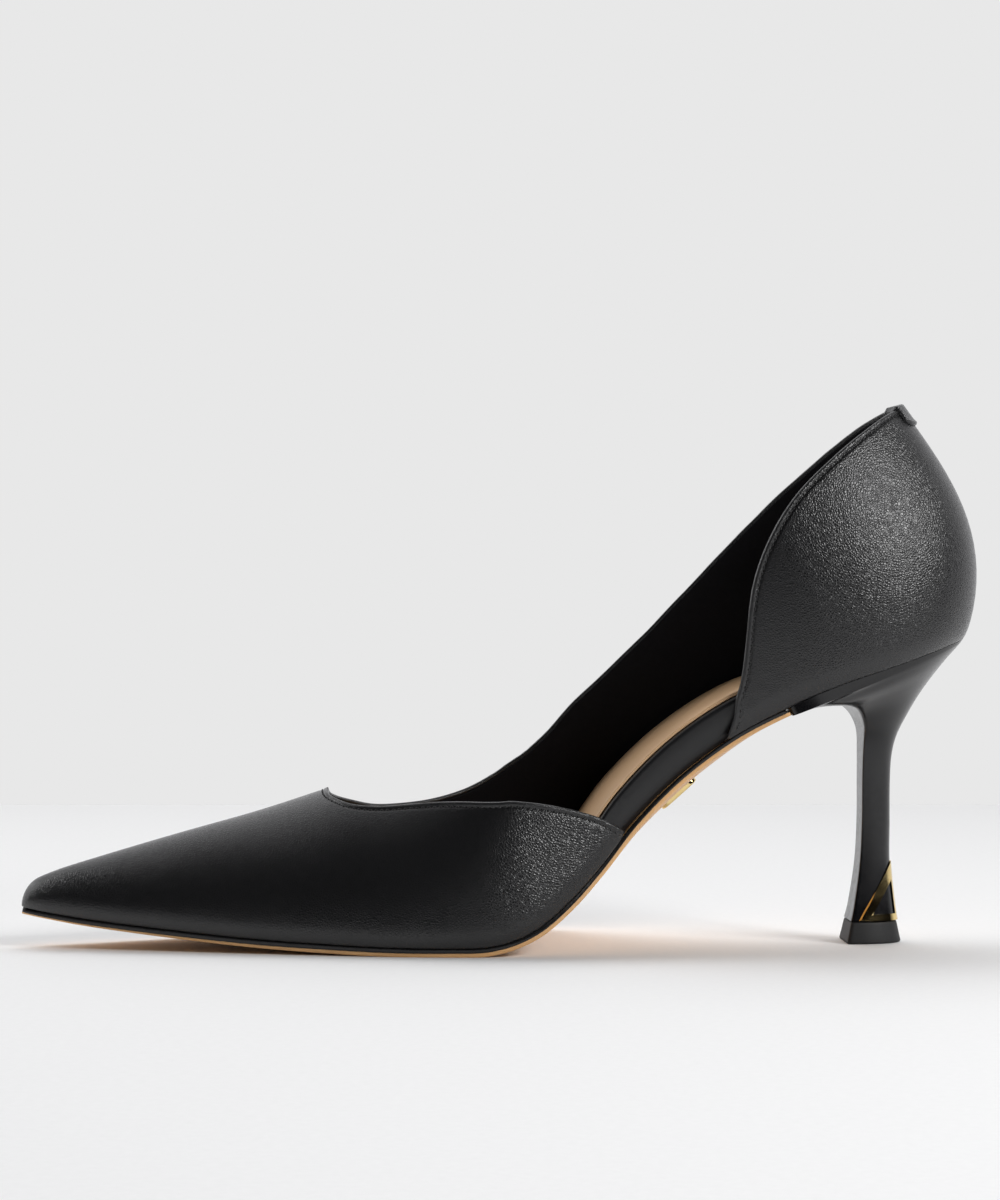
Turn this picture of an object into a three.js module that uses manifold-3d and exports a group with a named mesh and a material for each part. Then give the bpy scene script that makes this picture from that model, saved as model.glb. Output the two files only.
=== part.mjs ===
// Pointed toe pump with a slim heel, for the right foot. Its outer side runs whole from the vamp to the
// heel, and its inner side is cut away at the arch. Millimetres, +Z up, floor at Z = 0, +X from toe to heel,
// -Y the inner side. It is drawn from the toe tip and set with its origin under the middle of its box.
import * as THREE from "three";
import { mergeVertices } from "three/addons/utils/BufferGeometryUtils.js";
import Module from "manifold-3d";

// Driving sizes of the last, which the upper, insole and outsole follow
const lastLength = 246;
const ballWidth = 75.7;
const instepHeight = 79.5;
const seatRise = 77.5;
const toeSpring = 8.3;
const cupBow = 9.2;

// Leather and board
const wall = 1.8;
const gap = 0.3;
const outsoleThickness = 2;
const insoleThickness = 9.2;
const insoleFrom = 0.033;
const sockThickness = 1;
const sockInset = 1.4;
const sockFrom = 0.045;

// Heel and top piece
const breastAt = 0.801;
const seatHalfWidth = 25.5;
const topPieceHeight = 5.6;
const topPieceFlare = 1.1;

// Gold trim at the foot of the heel, gold plate under the waist, tab on the back of the collar
const trimReach = 11;
const trimHeight = 15;
const trimBand = 2.4;
const trimBase = 1.7;
const trimRim = 0.7;
const trimProud = 0.25;
const trimDepth = 0.9;
const plateLength = 11.7;
const plateWidth = 4.6;
const plateThickness = 1;
const plateAt = 0.681;
const plateSpan = 0.2;
const tabDrop = 7;
const tabLining = 5;
const tabThickness = 0.8;
const tabSpread = 1.15;

// One row for each section of the last, from the toe tip to the breast of the heel. at: place of its foot
// along lastLength. spring: share of toeSpring, rise: share of seatRise. swing: its middle, inner and outer:
// its half widths, as shares of ballWidth. crown: its height, as a share of instepHeight. lean: how far it
// leans to the toe, in degrees. upright: 0 for an arch that closes over the foot, 1 for standing side walls.
const lastColumns = ["at", "spring", "rise", "swing", "inner", "outer", "crown", "lean", "upright"];
const lastTable = [
  [0.000, 1.00, 0.000, -0.059, 0.000, 0.000, 0.000, 0.0, 0.00],
  [0.009, 0.94, 0.000, -0.058, 0.057, 0.057, 0.078, 0.0, 0.00],
  [0.033, 0.83, 0.000, -0.054, 0.102, 0.104, 0.129, 0.0, 0.00],
  [0.081, 0.64, 0.000, -0.045, 0.162, 0.168, 0.196, 0.0, 0.00],
  [0.163, 0.40, 0.000, -0.030, 0.254, 0.264, 0.295, 0.0, 0.00],
  [0.248, 0.19, 0.000, -0.016, 0.341, 0.354, 0.390, 0.0, 0.00],
  [0.322, 0.08, 0.000, -0.008, 0.410, 0.425, 0.475, 0.0, 0.00],
  [0.386, 0.01, 0.000, -0.003, 0.460, 0.473, 0.541, 1.0, 0.00],
  [0.443, 0.00, 0.000, 0.000, 0.489, 0.499, 0.623, 4.0, 0.00],
  [0.492, 0.00, 0.006, 0.000, 0.491, 0.509, 0.717, 9.0, 0.08],
  [0.533, 0.00, 0.050, 0.000, 0.468, 0.502, 0.805, 14.0, 0.18],
  [0.569, 0.00, 0.137, 0.000, 0.425, 0.483, 0.874, 18.0, 0.30],
  [0.604, 0.00, 0.254, 0.000, 0.376, 0.454, 0.925, 21.0, 0.45],
  [0.642, 0.00, 0.401, 0.000, 0.330, 0.420, 0.969, 22.0, 0.62],
  [0.691, 0.00, 0.551, 0.000, 0.301, 0.388, 0.994, 22.0, 0.80],
  [0.748, 0.00, 0.683, 0.000, 0.299, 0.365, 1.000, 20.5, 0.93],
  [0.805, 0.00, 0.778, 0.000, 0.322, 0.354, 0.981, 18.8, 1.00],
  [0.858, 0.00, 0.850, 0.000, 0.338, 0.349, 0.943, 17.6, 1.00],
];
const heelBack = { at: 1, rise: 1, crown: 0.791, lean: 15, bow: 1 };
const cupSections = 4;

// Shape of a section: the arch over the foot, and the side wall with its swell and its draw to the top
const archHeightPower = 1.75;
const archWidthPower = 1.95;
const sideSwell = 0.13;
const sideDraw = 0.42;
const sideDrawPower = 1.6;
const bowPower = 0.82;
const featherTuck = 1.3;
const featherTuckHeight = 5;
const tipTuckShare = 0.25;
const tipInsetShare = 0.2;

// Edges of the upper. at: foot of the section along lastLength. up: share of the section's height.
const edgeColumns = ["at", "up"];
const throatAt = 0.322;
const vampEdgeTable = [
  [throatAt, 1], [0.331, 0.934], [0.348, 0.876], [0.373, 0.830], [0.418, 0.771], [0.478, 0.671],
  [0.540, 0.505], [0.564, 0.410], [0.584, 0.317], [0.601, 0.225], [0.616, 0.132], [0.626, 0.053],
  [0.632, 0],
];
const outerEdgeTable = [
  [throatAt, 1], [0.346, 0.862], [0.372, 0.790], [0.402, 0.743], [0.440, 0.694], [0.486, 0.648],
  [0.523, 0.596], [0.558, 0.533], [0.588, 0.474], [0.623, 0.430], [0.676, 0.402], [0.709, 0.411],
  [0.757, 0.458], [0.805, 0.538], [0.848, 0.624], [0.886, 0.727], [0.925, 0.838], [0.965, 0.940],
  [0.991, 0.991], [1, 1],
];
const quarterEdgeTable = [
  [0.736, 0], [0.748, 0.041], [0.758, 0.107], [0.767, 0.148], [0.776, 0.206], [0.784, 0.265],
  [0.794, 0.342], [0.805, 0.417], [0.820, 0.491], [0.838, 0.563], [0.862, 0.650], [0.882, 0.716],
  [0.913, 0.806], [0.946, 0.889], [0.980, 0.965], [1, 1],
];

// Thickness along the foot. at: place along lastLength. The insole's as a share of insoleThickness, the
// outsole's edge and middle as shares of outsoleThickness, and its set-back as a share of the wall.
const insoleColumns = ["at", "thick", "dish"];
const insoleTable = [
  [0.00, 0.30, 0.00], [0.40, 0.32, 0.00], [0.50, 0.45, 0.02], [0.58, 0.80, 0.08], [0.64, 0.97, 0.14],
  [0.70, 1.00, 0.16], [0.76, 0.95, 0.16], [0.84, 0.70, 0.16], [0.92, 0.50, 0.12], [1.00, 0.45, 0.00],
];
const outsoleColumns = ["at", "edge", "middle", "inset"];
const outsoleTable = [
  [0.00, 0.70, 0.80, 0.20], [0.20, 0.95, 1.00, 0.20], [0.38, 1.06, 1.06, 0.20], [0.48, 1.06, 1.06, 0.20],
  [0.50, 1.02, 1.04, 0.20], [0.56, 0.95, 1.10, 0.30], [0.62, 0.90, 1.70, 0.80],
  [0.67, 0.90, 2.05, 1.00], [0.72, 0.90, 1.95, 1.00], [0.77, 0.90, 1.55, 0.60], [0.82, 0.90, 1.25, 0.20],
];

// Heel sections from its foot on the top piece up to the seat. backLevel and frontLevel: shares of the
// heel's height. back and front: shares of the seat's depth behind the breast. half: half width as a share
// of seatHalfWidth. straight: share of the depth that runs straight from the breast.
const heelColumns = ["backLevel", "frontLevel", "back", "front", "half", "straight"];
const heelTable = [
  [0.000, 0.000, 0.640, 0.377, 0.275, 0.20],
  [0.058, 0.058, 0.626, 0.397, 0.243, 0.20],
  [0.202, 0.202, 0.604, 0.428, 0.214, 0.18],
  [0.346, 0.346, 0.604, 0.440, 0.204, 0.18],
  [0.503, 0.503, 0.606, 0.442, 0.212, 0.18],
  [0.592, 0.592, 0.616, 0.444, 0.235, 0.18],
  [0.660, 0.654, 0.643, 0.446, 0.282, 0.18],
  [0.728, 0.694, 0.694, 0.440, 0.369, 0.18],
  [0.796, 0.735, 0.753, 0.414, 0.486, 0.18],
  [0.864, 0.761, 0.824, 0.369, 0.627, 0.19],
  [0.931, 0.769, 0.904, 0.285, 0.784, 0.20],
  [0.970, 0.763, 0.957, 0.152, 0.885, 0.22],
  [0.992, 0.736, 0.986, 0.026, 0.935, 0.24],
];

// Fineness of the curved surfaces. Stations count the sections from the toe tip.
const stepsPerSection = 3;
const tipStations = [0, 0.25, 0.5, 0.75];
const throatSteps = [0.03, 0.1, 0.2, 0.35];
const outsoleTip = 0.5;
const wallRows = 10;
const tuckRowShare = 0.4;
const heelStepsPerSection = 2;
const heelPoints = 23;
const tabSteps = 4;
const soleShares = [-1, -0.75, -0.4, 0, 0.4, 0.75, 1];
const padShares = [-1, -0.55, 0, 0.55, 1];
const probeStep = 1e-3;
const mergeDistance = 1e-3;

const wasm = await Module();
wasm.setup();

// The row of a table that stands at the given number of rows from its start, joined smoothly
function smoothRow(rows, position, before, after) {
  const index = Math.min(Math.max(Math.floor(position), 0), rows.length - 2);
  const t = position - index;
  const around = [rows[index - 1] ?? before, rows[index], rows[index + 1], rows[index + 2] ?? after];
  const row = {};
  for (const name of Object.keys(rows[index])) {
    const [a, b, c, d] = around.map((entry) => entry[name]);
    const bend = (2 * a - 5 * b + 4 * c - d) * t * t + (3 * b - a - 3 * c + d) * t ** 3;
    row[name] = 0.5 * (2 * b + (c - a) * t + bend);
  }
  return row;
}

function namedRows(columns, table) {
  return table.map((line) => Object.fromEntries(columns.map((name, i) => [name, line[i]])));
}

// A smooth line through a table that never overshoots its rows
function smoothLine(columns, table, name) {
  const rows = namedRows(columns, table);
  const slopes = rows.slice(1).map((row, i) => (row[name] - rows[i][name]) / (row.at - rows[i].at));
  const tangents = rows.map((row, i) => {
    const left = slopes[i - 1] ?? slopes[i];
    const right = slopes[i] ?? slopes[i - 1];
    return left * right > 0 ? (2 * left * right) / (left + right) : 0;
  });
  return (at) => {
    let i = 0;
    while (i < rows.length - 2 && at > rows[i + 1].at) i += 1;
    const span = rows[i + 1].at - rows[i].at;
    const t = Math.min(Math.max((at - rows[i].at) / span, 0), 1);
    const rest = 1 - t;
    const ends = rows[i][name] * rest * rest * (1 + 2 * t) + rows[i + 1][name] * t * t * (3 - 2 * t);
    return ends + span * t * rest * (tangents[i] * rest - tangents[i + 1] * t);
  };
}

// Sections of the last in real sizes, with the rounded heel cup added by equal turns behind the table
function lastSections() {
  const tread = outsoleThickness + gap;
  const shares = namedRows(lastColumns, lastTable).map((row) => ({ ...row, bow: 0 }));
  const breast = shares[shares.length - 1];
  for (let k = 1; k <= cupSections; k += 1) {
    const turn = (k / cupSections) * (Math.PI / 2);
    const row = { ...breast, inner: breast.inner * Math.cos(turn), outer: breast.outer * Math.cos(turn) };
    for (const name of Object.keys(heelBack)) {
      row[name] = THREE.MathUtils.lerp(breast[name], heelBack[name], Math.sin(turn));
    }
    shares.push(row);
  }
  return shares.map((row) => ({
    x: row.at * lastLength,
    z: tread + row.spring * toeSpring + row.rise * seatRise,
    swing: row.swing * ballWidth,
    inner: row.inner * ballWidth,
    outer: row.outer * ballWidth,
    crown: row.crown * instepHeight,
    lean: THREE.MathUtils.degToRad(row.lean),
    upright: row.upright,
    bow: row.bow * cupBow,
  }));
}

const sections = lastSections();
const lastStation = sections.length - 1;
const toeGhost = { ...sections[1] };
toeGhost.inner *= -1;
toeGhost.outer *= -1;
toeGhost.crown *= -1;
const backGhost = { ...sections[lastStation - 1] };
backGhost.inner *= -1;
backGhost.outer *= -1;

function sectionAt(station) {
  return smoothRow(sections, station, toeGhost, backGhost);
}

// The station whose foot lies at a share of the last's length
function stationAt(at) {
  let low = 0;
  let high = lastStation;
  for (let i = 0; i < 40; i += 1) {
    const middle = (low + high) / 2;
    if (sectionAt(middle).x < at * lastLength) low = middle;
    else high = middle;
  }
  return (low + high) / 2;
}

function shareAt(station) {
  return sectionAt(station).x / lastLength;
}

// Half width of the feather line, with its small tuck under the foot
function featherHalf(section, side) {
  const half = side < 0 ? section.inner : section.outer;
  return half - Math.min(featherTuck, half * tipTuckShare);
}

// A point of the last's skin. up is the share of the section's height, side is -1 inner or 1 outer.
function skin(station, up, side) {
  if (station > lastStation) return skin(2 * lastStation - station, up, -side);
  if (station < 0) return skin(-station, up, -side);
  const section = sectionAt(station);
  const half = side < 0 ? section.inner : section.outer;
  const height = up * section.crown;
  const arch = Math.max(0, 1 - up ** archHeightPower) ** (1 / archWidthPower);
  const standing = 1 + sideSwell * 4 * up * (1 - up) - sideDraw * up ** sideDrawPower;
  const tuckHeight = Math.min(featherTuckHeight, section.crown / 2);
  const tuckShare = height < tuckHeight ? (1 - height / tuckHeight) ** 2 : 0;
  const tuck = Math.min(featherTuck, half * tipTuckShare) * tuckShare;
  const spread = half * THREE.MathUtils.lerp(arch, standing, section.upright) - tuck;
  const bow = section.bow * Math.sin(Math.PI * up ** bowPower);
  const sin = Math.sin(section.lean);
  const cos = Math.cos(section.lean);
  const x = section.x - height * sin + bow * cos;
  return new THREE.Vector3(x, section.swing + side * spread, section.z + height * cos + bow * sin);
}

// The same point moved into the shoe, square to the skin, but level with the feather line at its foot
function insideSkin(station, up, side, depth) {
  const point = skin(station, up, side);
  if (station === 0) return point.add(new THREE.Vector3(depth, 0, 0));
  const section = sectionAt(station);
  const along = skin(station + probeStep, up, side).sub(skin(station - probeStep, up, side));
  const rise = new THREE.Vector3(0, -side, 0);
  if (up < 1 || section.upright > 0 || station > stationAt(throatAt)) {
    rise.copy(skin(station, Math.min(1, up + probeStep), side));
    rise.sub(skin(station, Math.max(0, up - probeStep), side));
  }
  const outward = rise.cross(along).multiplyScalar(side).normalize();
  const upright = new THREE.Vector3(-Math.sin(section.lean), 0, Math.cos(section.lean));
  const foot = Math.max(0, 1 - (up * section.crown) / wall);
  outward.addScaledVector(upright, -foot * outward.dot(upright)).normalize();
  return point.addScaledVector(outward, -depth);
}

// A closed solid from loose triangles: shared corners are merged and collapsed triangles dropped
function solid(corners) {
  const positions = new Float32Array(corners.length * 3);
  corners.forEach((corner, i) => corner.toArray(positions, i * 3));
  const loose = new THREE.BufferGeometry();
  loose.setAttribute("position", new THREE.BufferAttribute(positions, 3));
  const merged = mergeVertices(loose, mergeDistance);
  const index = merged.index.array;
  const kept = [];
  for (let i = 0; i < index.length; i += 3) {
    const [a, b, c] = [index[i], index[i + 1], index[i + 2]];
    if (a !== b && b !== c && c !== a) kept.push(a, b, c);
  }
  if (volumeOf(merged, kept) < 0) kept.reverse();
  merged.setIndex(kept);
  return merged;
}

function volumeOf(geometry, index) {
  const [a, b, c] = [new THREE.Vector3(), new THREE.Vector3(), new THREE.Vector3()];
  const position = geometry.attributes.position;
  let volume = 0;
  for (let i = 0; i < index.length; i += 3) {
    a.fromBufferAttribute(position, index[i]);
    b.fromBufferAttribute(position, index[i + 1]);
    c.fromBufferAttribute(position, index[i + 2]);
    volume += a.dot(b.cross(c)) / 6;
  }
  return volume;
}

function addQuad(corners, a, b, c, d) {
  corners.push(a, b, c, a, c, d);
}

// A solid through rings of points. Each end is closed by rungs from the ring's first half to its second.
function loft(rings) {
  const corners = [];
  const count = rings[0].length;
  for (let i = 0; i + 1 < rings.length; i += 1) {
    for (let j = 0; j < count; j += 1) {
      const next = (j + 1) % count;
      addQuad(corners, rings[i][j], rings[i][next], rings[i + 1][next], rings[i + 1][j]);
    }
  }
  const last = rings[rings.length - 1];
  for (let j = 0; 2 * j + 2 < count; j += 1) {
    const far = count - 1 - j;
    addQuad(corners, rings[0][j], rings[0][far], rings[0][far - 1], rings[0][j + 1]);
    addQuad(corners, last[j], last[j + 1], last[far - 1], last[far]);
  }
  return solid(corners);
}

function toManifold(geometry) {
  const triVerts = new Uint32Array(geometry.index.array);
  const vertProperties = new Float32Array(geometry.attributes.position.array);
  return new wasm.Manifold(new wasm.Mesh({ numProp: 3, vertProperties, triVerts }));
}

function fromManifold(manifold) {
  const mesh = manifold.getMesh();
  const geometry = new THREE.BufferGeometry();
  geometry.setAttribute("position", new THREE.BufferAttribute(new Float32Array(mesh.vertProperties), 3));
  geometry.setIndex(Array.from(mesh.triVerts));
  return geometry;
}

// Stations from one to another, with the whole and part sections between them
function stationsBetween(from, to) {
  const stations = [from];
  for (let k = Math.ceil(from * stepsPerSection + 0.2); k < to * stepsPerSection - 0.2; k += 1) {
    stations.push(k / stepsPerSection);
  }
  stations.push(to);
  return stations;
}

// Upper: one wall from the tip of the inner wing, round the toe, along the outer side and round the heel to
// the front of the inner quarter. Before the throat its two sides meet in the ridge.
function upperShape() {
  const throat = stationAt(throatAt);
  const wingTip = stationAt(vampEdgeTable[vampEdgeTable.length - 1][0]);
  const quarterTip = stationAt(quarterEdgeTable[0][0]);
  const vampUp = throatLine(vampEdgeTable);
  const outerUp = throatLine(outerEdgeTable);
  const quarterUp = smoothLine(edgeColumns, quarterEdgeTable, "up");
  const beforeThroat = [...tipStations, ...stationsBetween(1, throat)];
  const afterThroat = throatSteps.map((step) => throat + step);
  const vampRest = stationsBetween(throat + 0.5, wingTip);
  const outerRest = stationsBetween(throat + 0.5, lastStation);
  const quarter = stationsBetween(quarterTip, lastStation);
  const innerVamp = [...beforeThroat, ...afterThroat, ...vampRest];
  const columns = [
    ...innerVamp.reverse().map((station) => ({ station, side: -1, edge: vampUp(shareAt(station)) })),
    ...[...beforeThroat, ...afterThroat, ...outerRest].slice(1)
      .map((station) => ({ station, side: 1, edge: outerUp(shareAt(station)) })),
    ...quarter.reverse().slice(1)
      .map((station) => ({ station, side: -1, edge: quarterUp(shareAt(station)) })),
  ];
  columns[0].edge = 0;
  columns[columns.length - 1].edge = 0;
  for (const column of columns) {
    if (column.station <= throat) column.edge = 1;
    column.outside = wallColumn(column, 0);
    column.inside = wallColumn(column, wallDepth(column.station));
  }
  const corners = [];
  for (let i = 0; i + 1 < columns.length; i += 1) {
    const [here, next] = [columns[i], columns[i + 1]];
    for (let j = 0; j < wallRows; j += 1) {
      addQuad(corners, here.outside[j], here.outside[j + 1], next.outside[j + 1], next.outside[j]);
      addQuad(corners, next.inside[j], next.inside[j + 1], here.inside[j + 1], here.inside[j]);
    }
    addQuad(corners, here.inside[0], here.outside[0], next.outside[0], next.inside[0]);
    if (Math.max(here.station, next.station) > throat) {
      const [top, nextTop] = [here.outside[wallRows], next.outside[wallRows]];
      addQuad(corners, top, here.inside[wallRows], next.inside[wallRows], nextTop);
    }
  }
  return solid(corners);
}

// The edge's height falls from the throat as the square root of the way along, so it is drawn on that
function throatLine(table) {
  const stretched = table.map(([at, up]) => [Math.sqrt(at - throatAt), up]);
  const line = smoothLine(edgeColumns, stretched, "up");
  return (at) => line(Math.sqrt(Math.max(0, at - throatAt)));
}

// The wall thins a little inside the toe tip, where the last is narrower than two walls
function wallDepth(station) {
  return Math.min(wall, wall / 3 + featherHalf(sectionAt(station), -1) / 2);
}

// Rows of the wall: two follow the tuck at its foot, and the rest close up towards the edge
function wallColumn(column, depth) {
  const points = [];
  const height = column.edge * sectionAt(column.station).crown;
  const foot = Math.min(featherTuckHeight / height, 2 / wallRows);
  for (let j = 0; j <= wallRows; j += 1) {
    const turn = ((j - 2) / (wallRows - 2)) * (Math.PI / 2);
    const share = j < 2 ? foot * tuckRowShare * j : foot + (1 - foot) * Math.sin(turn);
    const up = column.edge * share;
    if (depth === 0) points.push(skin(column.station, up, column.side));
    else points.push(insideSkin(column.station, up, column.side, depth));
  }
  return points;
}

// Height of the insole's top above the feather line, and its hollow across the foot
const insoleShare = smoothLine(insoleColumns, insoleTable, "thick");
const dishShare = smoothLine(insoleColumns, insoleTable, "dish");
const edgeShare = smoothLine(outsoleColumns, outsoleTable, "edge");
const middleShare = smoothLine(outsoleColumns, outsoleTable, "middle");
const insetShare = smoothLine(outsoleColumns, outsoleTable, "inset");

// One ring of a pad that lies in the upper, between two heights over the feather line
function padRing(station, low, high, inset, dish) {
  const crown = sectionAt(station).crown;
  const line = (level, share) => {
    const inner = insideSkin(station, level / crown, -1, inset);
    const outer = insideSkin(station, level / crown, 1, inset);
    const point = inner.lerp(outer, (share + 1) / 2);
    point.z -= dish * (1 - share * share);
    return point;
  };
  const under = padShares.map((share) => line(low, share));
  const over = padShares.map((share) => line(high, share));
  if (low === 0) padShares.forEach((share, i) => (under[i].z += dish * (1 - share * share)));
  return [...under, ...over.reverse()];
}

function insoleShape() {
  const start = stationAt(insoleFrom);
  const rings = stationsBetween(start, lastStation).map((station) => {
    const at = shareAt(station);
    const top = insoleThickness * insoleShare(at);
    return padRing(station, 0, top, wall + gap, insoleThickness * dishShare(at));
  });
  return loft(rings);
}

function sockShape() {
  const start = stationAt(sockFrom);
  const rings = stationsBetween(start, lastStation).map((station) => {
    const at = shareAt(station);
    const bottom = insoleThickness * insoleShare(at) + gap;
    const dish = insoleThickness * dishShare(at);
    return padRing(station, bottom, bottom + sockThickness, wall + gap + sockInset, dish);
  });
  return loft(rings);
}

// A point under the feather line: down is measured square to the sole, across from the inner edge at -1
function underFoot(station, share, down, inset) {
  const section = sectionAt(station);
  const [before, after] = [sectionAt(station - probeStep), sectionAt(station + probeStep)];
  const slope = new THREE.Vector2(after.x - before.x, after.z - before.z).normalize();
  const half = featherHalf(section, share);
  const side = half - Math.min(inset, half * tipInsetShare);
  const x = section.x + slope.y * down;
  return new THREE.Vector3(x, section.swing + share * side, section.z - slope.x * down);
}

function outsoleShape() {
  const end = stationAt(breastAt - (2 * gap) / lastLength);
  const stations = [outsoleTip, ...stationsBetween(1, end)];
  const cornerInset = outsoleThickness / 4;
  const rings = stations.map((station) => {
    const at = shareAt(station);
    const inset = wall * insetShare(at);
    const top = soleShares.map((share) => underFoot(station, share, gap, inset));
    const bottom = soleShares.map((share) => {
      const thickness = THREE.MathUtils.lerp(edgeShare(at), middleShare(at), 1 - share * share);
      const down = gap + outsoleThickness * thickness;
      const point = underFoot(station, share, down, inset + cornerInset);
      point.z = Math.max(0, point.z);
      return point;
    });
    return [...top, ...bottom.reverse()];
  });
  return loft(rings);
}

// Heel: level sections that grow and tilt into the seat under the foot
const heelFoot = topPieceHeight + gap;
const heelHeight = outsoleThickness + seatRise - heelFoot;
const breastX = breastAt * lastLength;
const seatDepth = lastLength - breastX;
const heelRows = namedRows(heelColumns, heelTable);
const trimStation = 3;
const peakStep = 0.035;

// A ring round the heel from its inner breast corner to its outer one, let out by a margin
function heelRing(row, margin) {
  const front = breastX + row.front * seatDepth - margin;
  const back = breastX + row.back * seatDepth + margin;
  const half = row.half * seatHalfWidth + margin;
  const low = heelFoot + row.frontLevel * heelHeight;
  const high = heelFoot + row.backLevel * heelHeight;
  return heelOutline(row.straight).map(([deep, wide]) => {
    const x = front + deep * (back - front);
    return new THREE.Vector3(x, wide * half, low + deep * (high - low));
  });
}

// Depth and width shares round a heel section: two straight flanks joined by half an oval
function heelOutline(straight) {
  const flank = 2;
  const points = [];
  for (let i = 0; i < heelPoints; i += 1) {
    const side = i * 2 < heelPoints ? -1 : 1;
    const step = Math.min(i, heelPoints - 1 - i);
    if (step < flank) {
      points.push([(straight * step) / flank, side]);
    } else {
      const turn = ((step - flank) / ((heelPoints - 1) / 2 - flank)) * (Math.PI / 2);
      points.push([straight + (1 - straight) * Math.sin(turn), side * Math.cos(turn)]);
    }
  }
  return points;
}

// The seat ring lies under the feather line and keeps its outline
function seatRing() {
  const back = lastLength - gap / 2;
  return heelOutline(heelRows[heelRows.length - 1].straight).map(([deep, wide], i) => {
    const x = breastX + deep * (back - breastX);
    const station = stationAt(x / lastLength);
    const side = i * 2 < heelPoints ? -1 : 1;
    const section = sectionAt(station);
    const half = i * 2 + 1 === heelPoints ? 0 : featherHalf(section, side);
    return new THREE.Vector3(x, side * half, underFoot(station, 0, gap, 0).z);
  });
}

// The heel's rings from its foot up to a row of its table
function heelBlock(margin, topRow) {
  const rings = [];
  const first = heelRows[0];
  const last = heelRows[heelRows.length - 1];
  for (let k = 0; k <= topRow * heelStepsPerSection; k += 1) {
    rings.push(heelRing(smoothRow(heelRows, k / heelStepsPerSection, first, last), margin));
  }
  return rings;
}

// Place of the heel's back edge at a height above its foot
function heelBackAt(height) {
  const row = heelRows.findIndex((entry) => entry.backLevel * heelHeight > height);
  const [low, high] = [heelRows[row - 1], heelRows[row]];
  const t = (height / heelHeight - low.backLevel) / (high.backLevel - low.backLevel);
  return breastX + seatDepth * THREE.MathUtils.lerp(low.back, high.back, t);
}

// Side view of the gold frame: a foot band, a slanting band and a narrow rim down the heel's back. It is a
// triangle with a triangular window, and spare widens every band for the recess that it sits in.
function trimOutline(spare) {
  const toe = new THREE.Vector2(heelBackAt(0) - trimReach, heelFoot);
  const apex = new THREE.Vector2(heelBackAt(trimHeight), heelFoot + trimHeight);
  const slant = apex.clone().sub(toe).normalize();
  const slantX = (level, shift) => toe.x + shift / slant.y + ((level - toe.y) * slant.x) / slant.y;
  const foot = heelFoot - 2 * gap;
  const top = apex.y + trimRim + spare;
  const beyond = heelBackAt(0) + trimBand;
  const outer = [[slantX(foot, -spare), foot], [beyond, foot], [beyond, top], [slantX(top, -spare), top]];
  const sill = heelFoot + trimBase + spare;
  const rimX = (level) => heelBackAt(level - heelFoot) - trimRim - spare;
  let peak = sill;
  while (slantX(peak, trimBand + spare) < rimX(peak)) peak += peakStep;
  const inner = [[slantX(sill, trimBand + spare), sill], [rimX(peak), peak], [rimX(sill), sill]];
  const shape = new THREE.Shape(outer.map(([x, z]) => new THREE.Vector2(x, z)));
  shape.holes.push(new THREE.Path(inner.map(([x, z]) => new THREE.Vector2(x, z))));
  return shape;
}

function trimPrism(spare) {
  const depth = seatHalfWidth * 2;
  const prism = new THREE.ExtrudeGeometry(trimOutline(spare), { depth, bevelEnabled: false, steps: 1 });
  prism.deleteAttribute("normal");
  prism.deleteAttribute("uv");
  prism.rotateX(Math.PI / 2);
  prism.translate(0, depth / 2, 0);
  return toManifold(mergeVertices(prism, mergeDistance));
}

function heelAndTrim() {
  const core = (margin) => toManifold(loft(heelBlock(margin, trimStation)));
  const body = toManifold(loft([...heelBlock(0, heelRows.length - 1), seatRing()]));
  const recess = core(gap).subtract(core(-trimDepth - gap)).intersect(trimPrism(gap));
  const trim = core(trimProud).subtract(core(-trimDepth)).intersect(trimPrism(0));
  return { heel: fromManifold(body.subtract(recess)), trim: fromManifold(trim) };
}

// Top piece: the rubber under the heel, a little wider where it treads
function topPieceShape() {
  const tread = { ...heelRows[0], half: heelRows[0].half + topPieceFlare / seatHalfWidth };
  tread.front -= topPieceFlare / seatDepth;
  tread.back += topPieceFlare / seatDepth;
  const rings = [heelRing(tread, 0), heelRing(heelRows[0], 0)];
  rings[0].forEach((point) => (point.z = 0));
  rings[1].forEach((point) => (point.z = topPieceHeight));
  return loft(rings);
}

// Gold plate: a round-ended bar laid on the middle of the outsole under the waist
function platePlace() {
  const station = stationAt(plateAt);
  const down = gap + outsoleThickness * middleShare(plateAt) + gap;
  const [front, rear] = [sectionAt(station - plateSpan), sectionAt(station + plateSpan)];
  const slope = Math.atan2(rear.z - front.z, rear.x - front.x);
  return { point: underFoot(station, 0, down, 0), slope };
}

function plateMesh() {
  const radius = plateWidth / 2;
  const reach = plateLength / 2 - radius;
  const outline = new THREE.Shape();
  outline.moveTo(-reach, -radius);
  outline.lineTo(reach, -radius);
  outline.absarc(reach, 0, radius, -Math.PI / 2, Math.PI / 2);
  outline.lineTo(-reach, radius);
  outline.absarc(-reach, 0, radius, Math.PI / 2, (3 * Math.PI) / 2);
  const settings = { depth: plateThickness, bevelEnabled: false, curveSegments: 10 };
  const bar = new THREE.ExtrudeGeometry(outline, settings);
  bar.deleteAttribute("normal");
  bar.deleteAttribute("uv");
  bar.translate(0, 0, -plateThickness);
  const mesh = piece("sole_plate", mergeVertices(bar, mergeDistance), materials.gold);
  const { point, slope } = platePlace();
  mesh.position.copy(point);
  mesh.rotation.y = -slope;
  return mesh;
}

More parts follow.
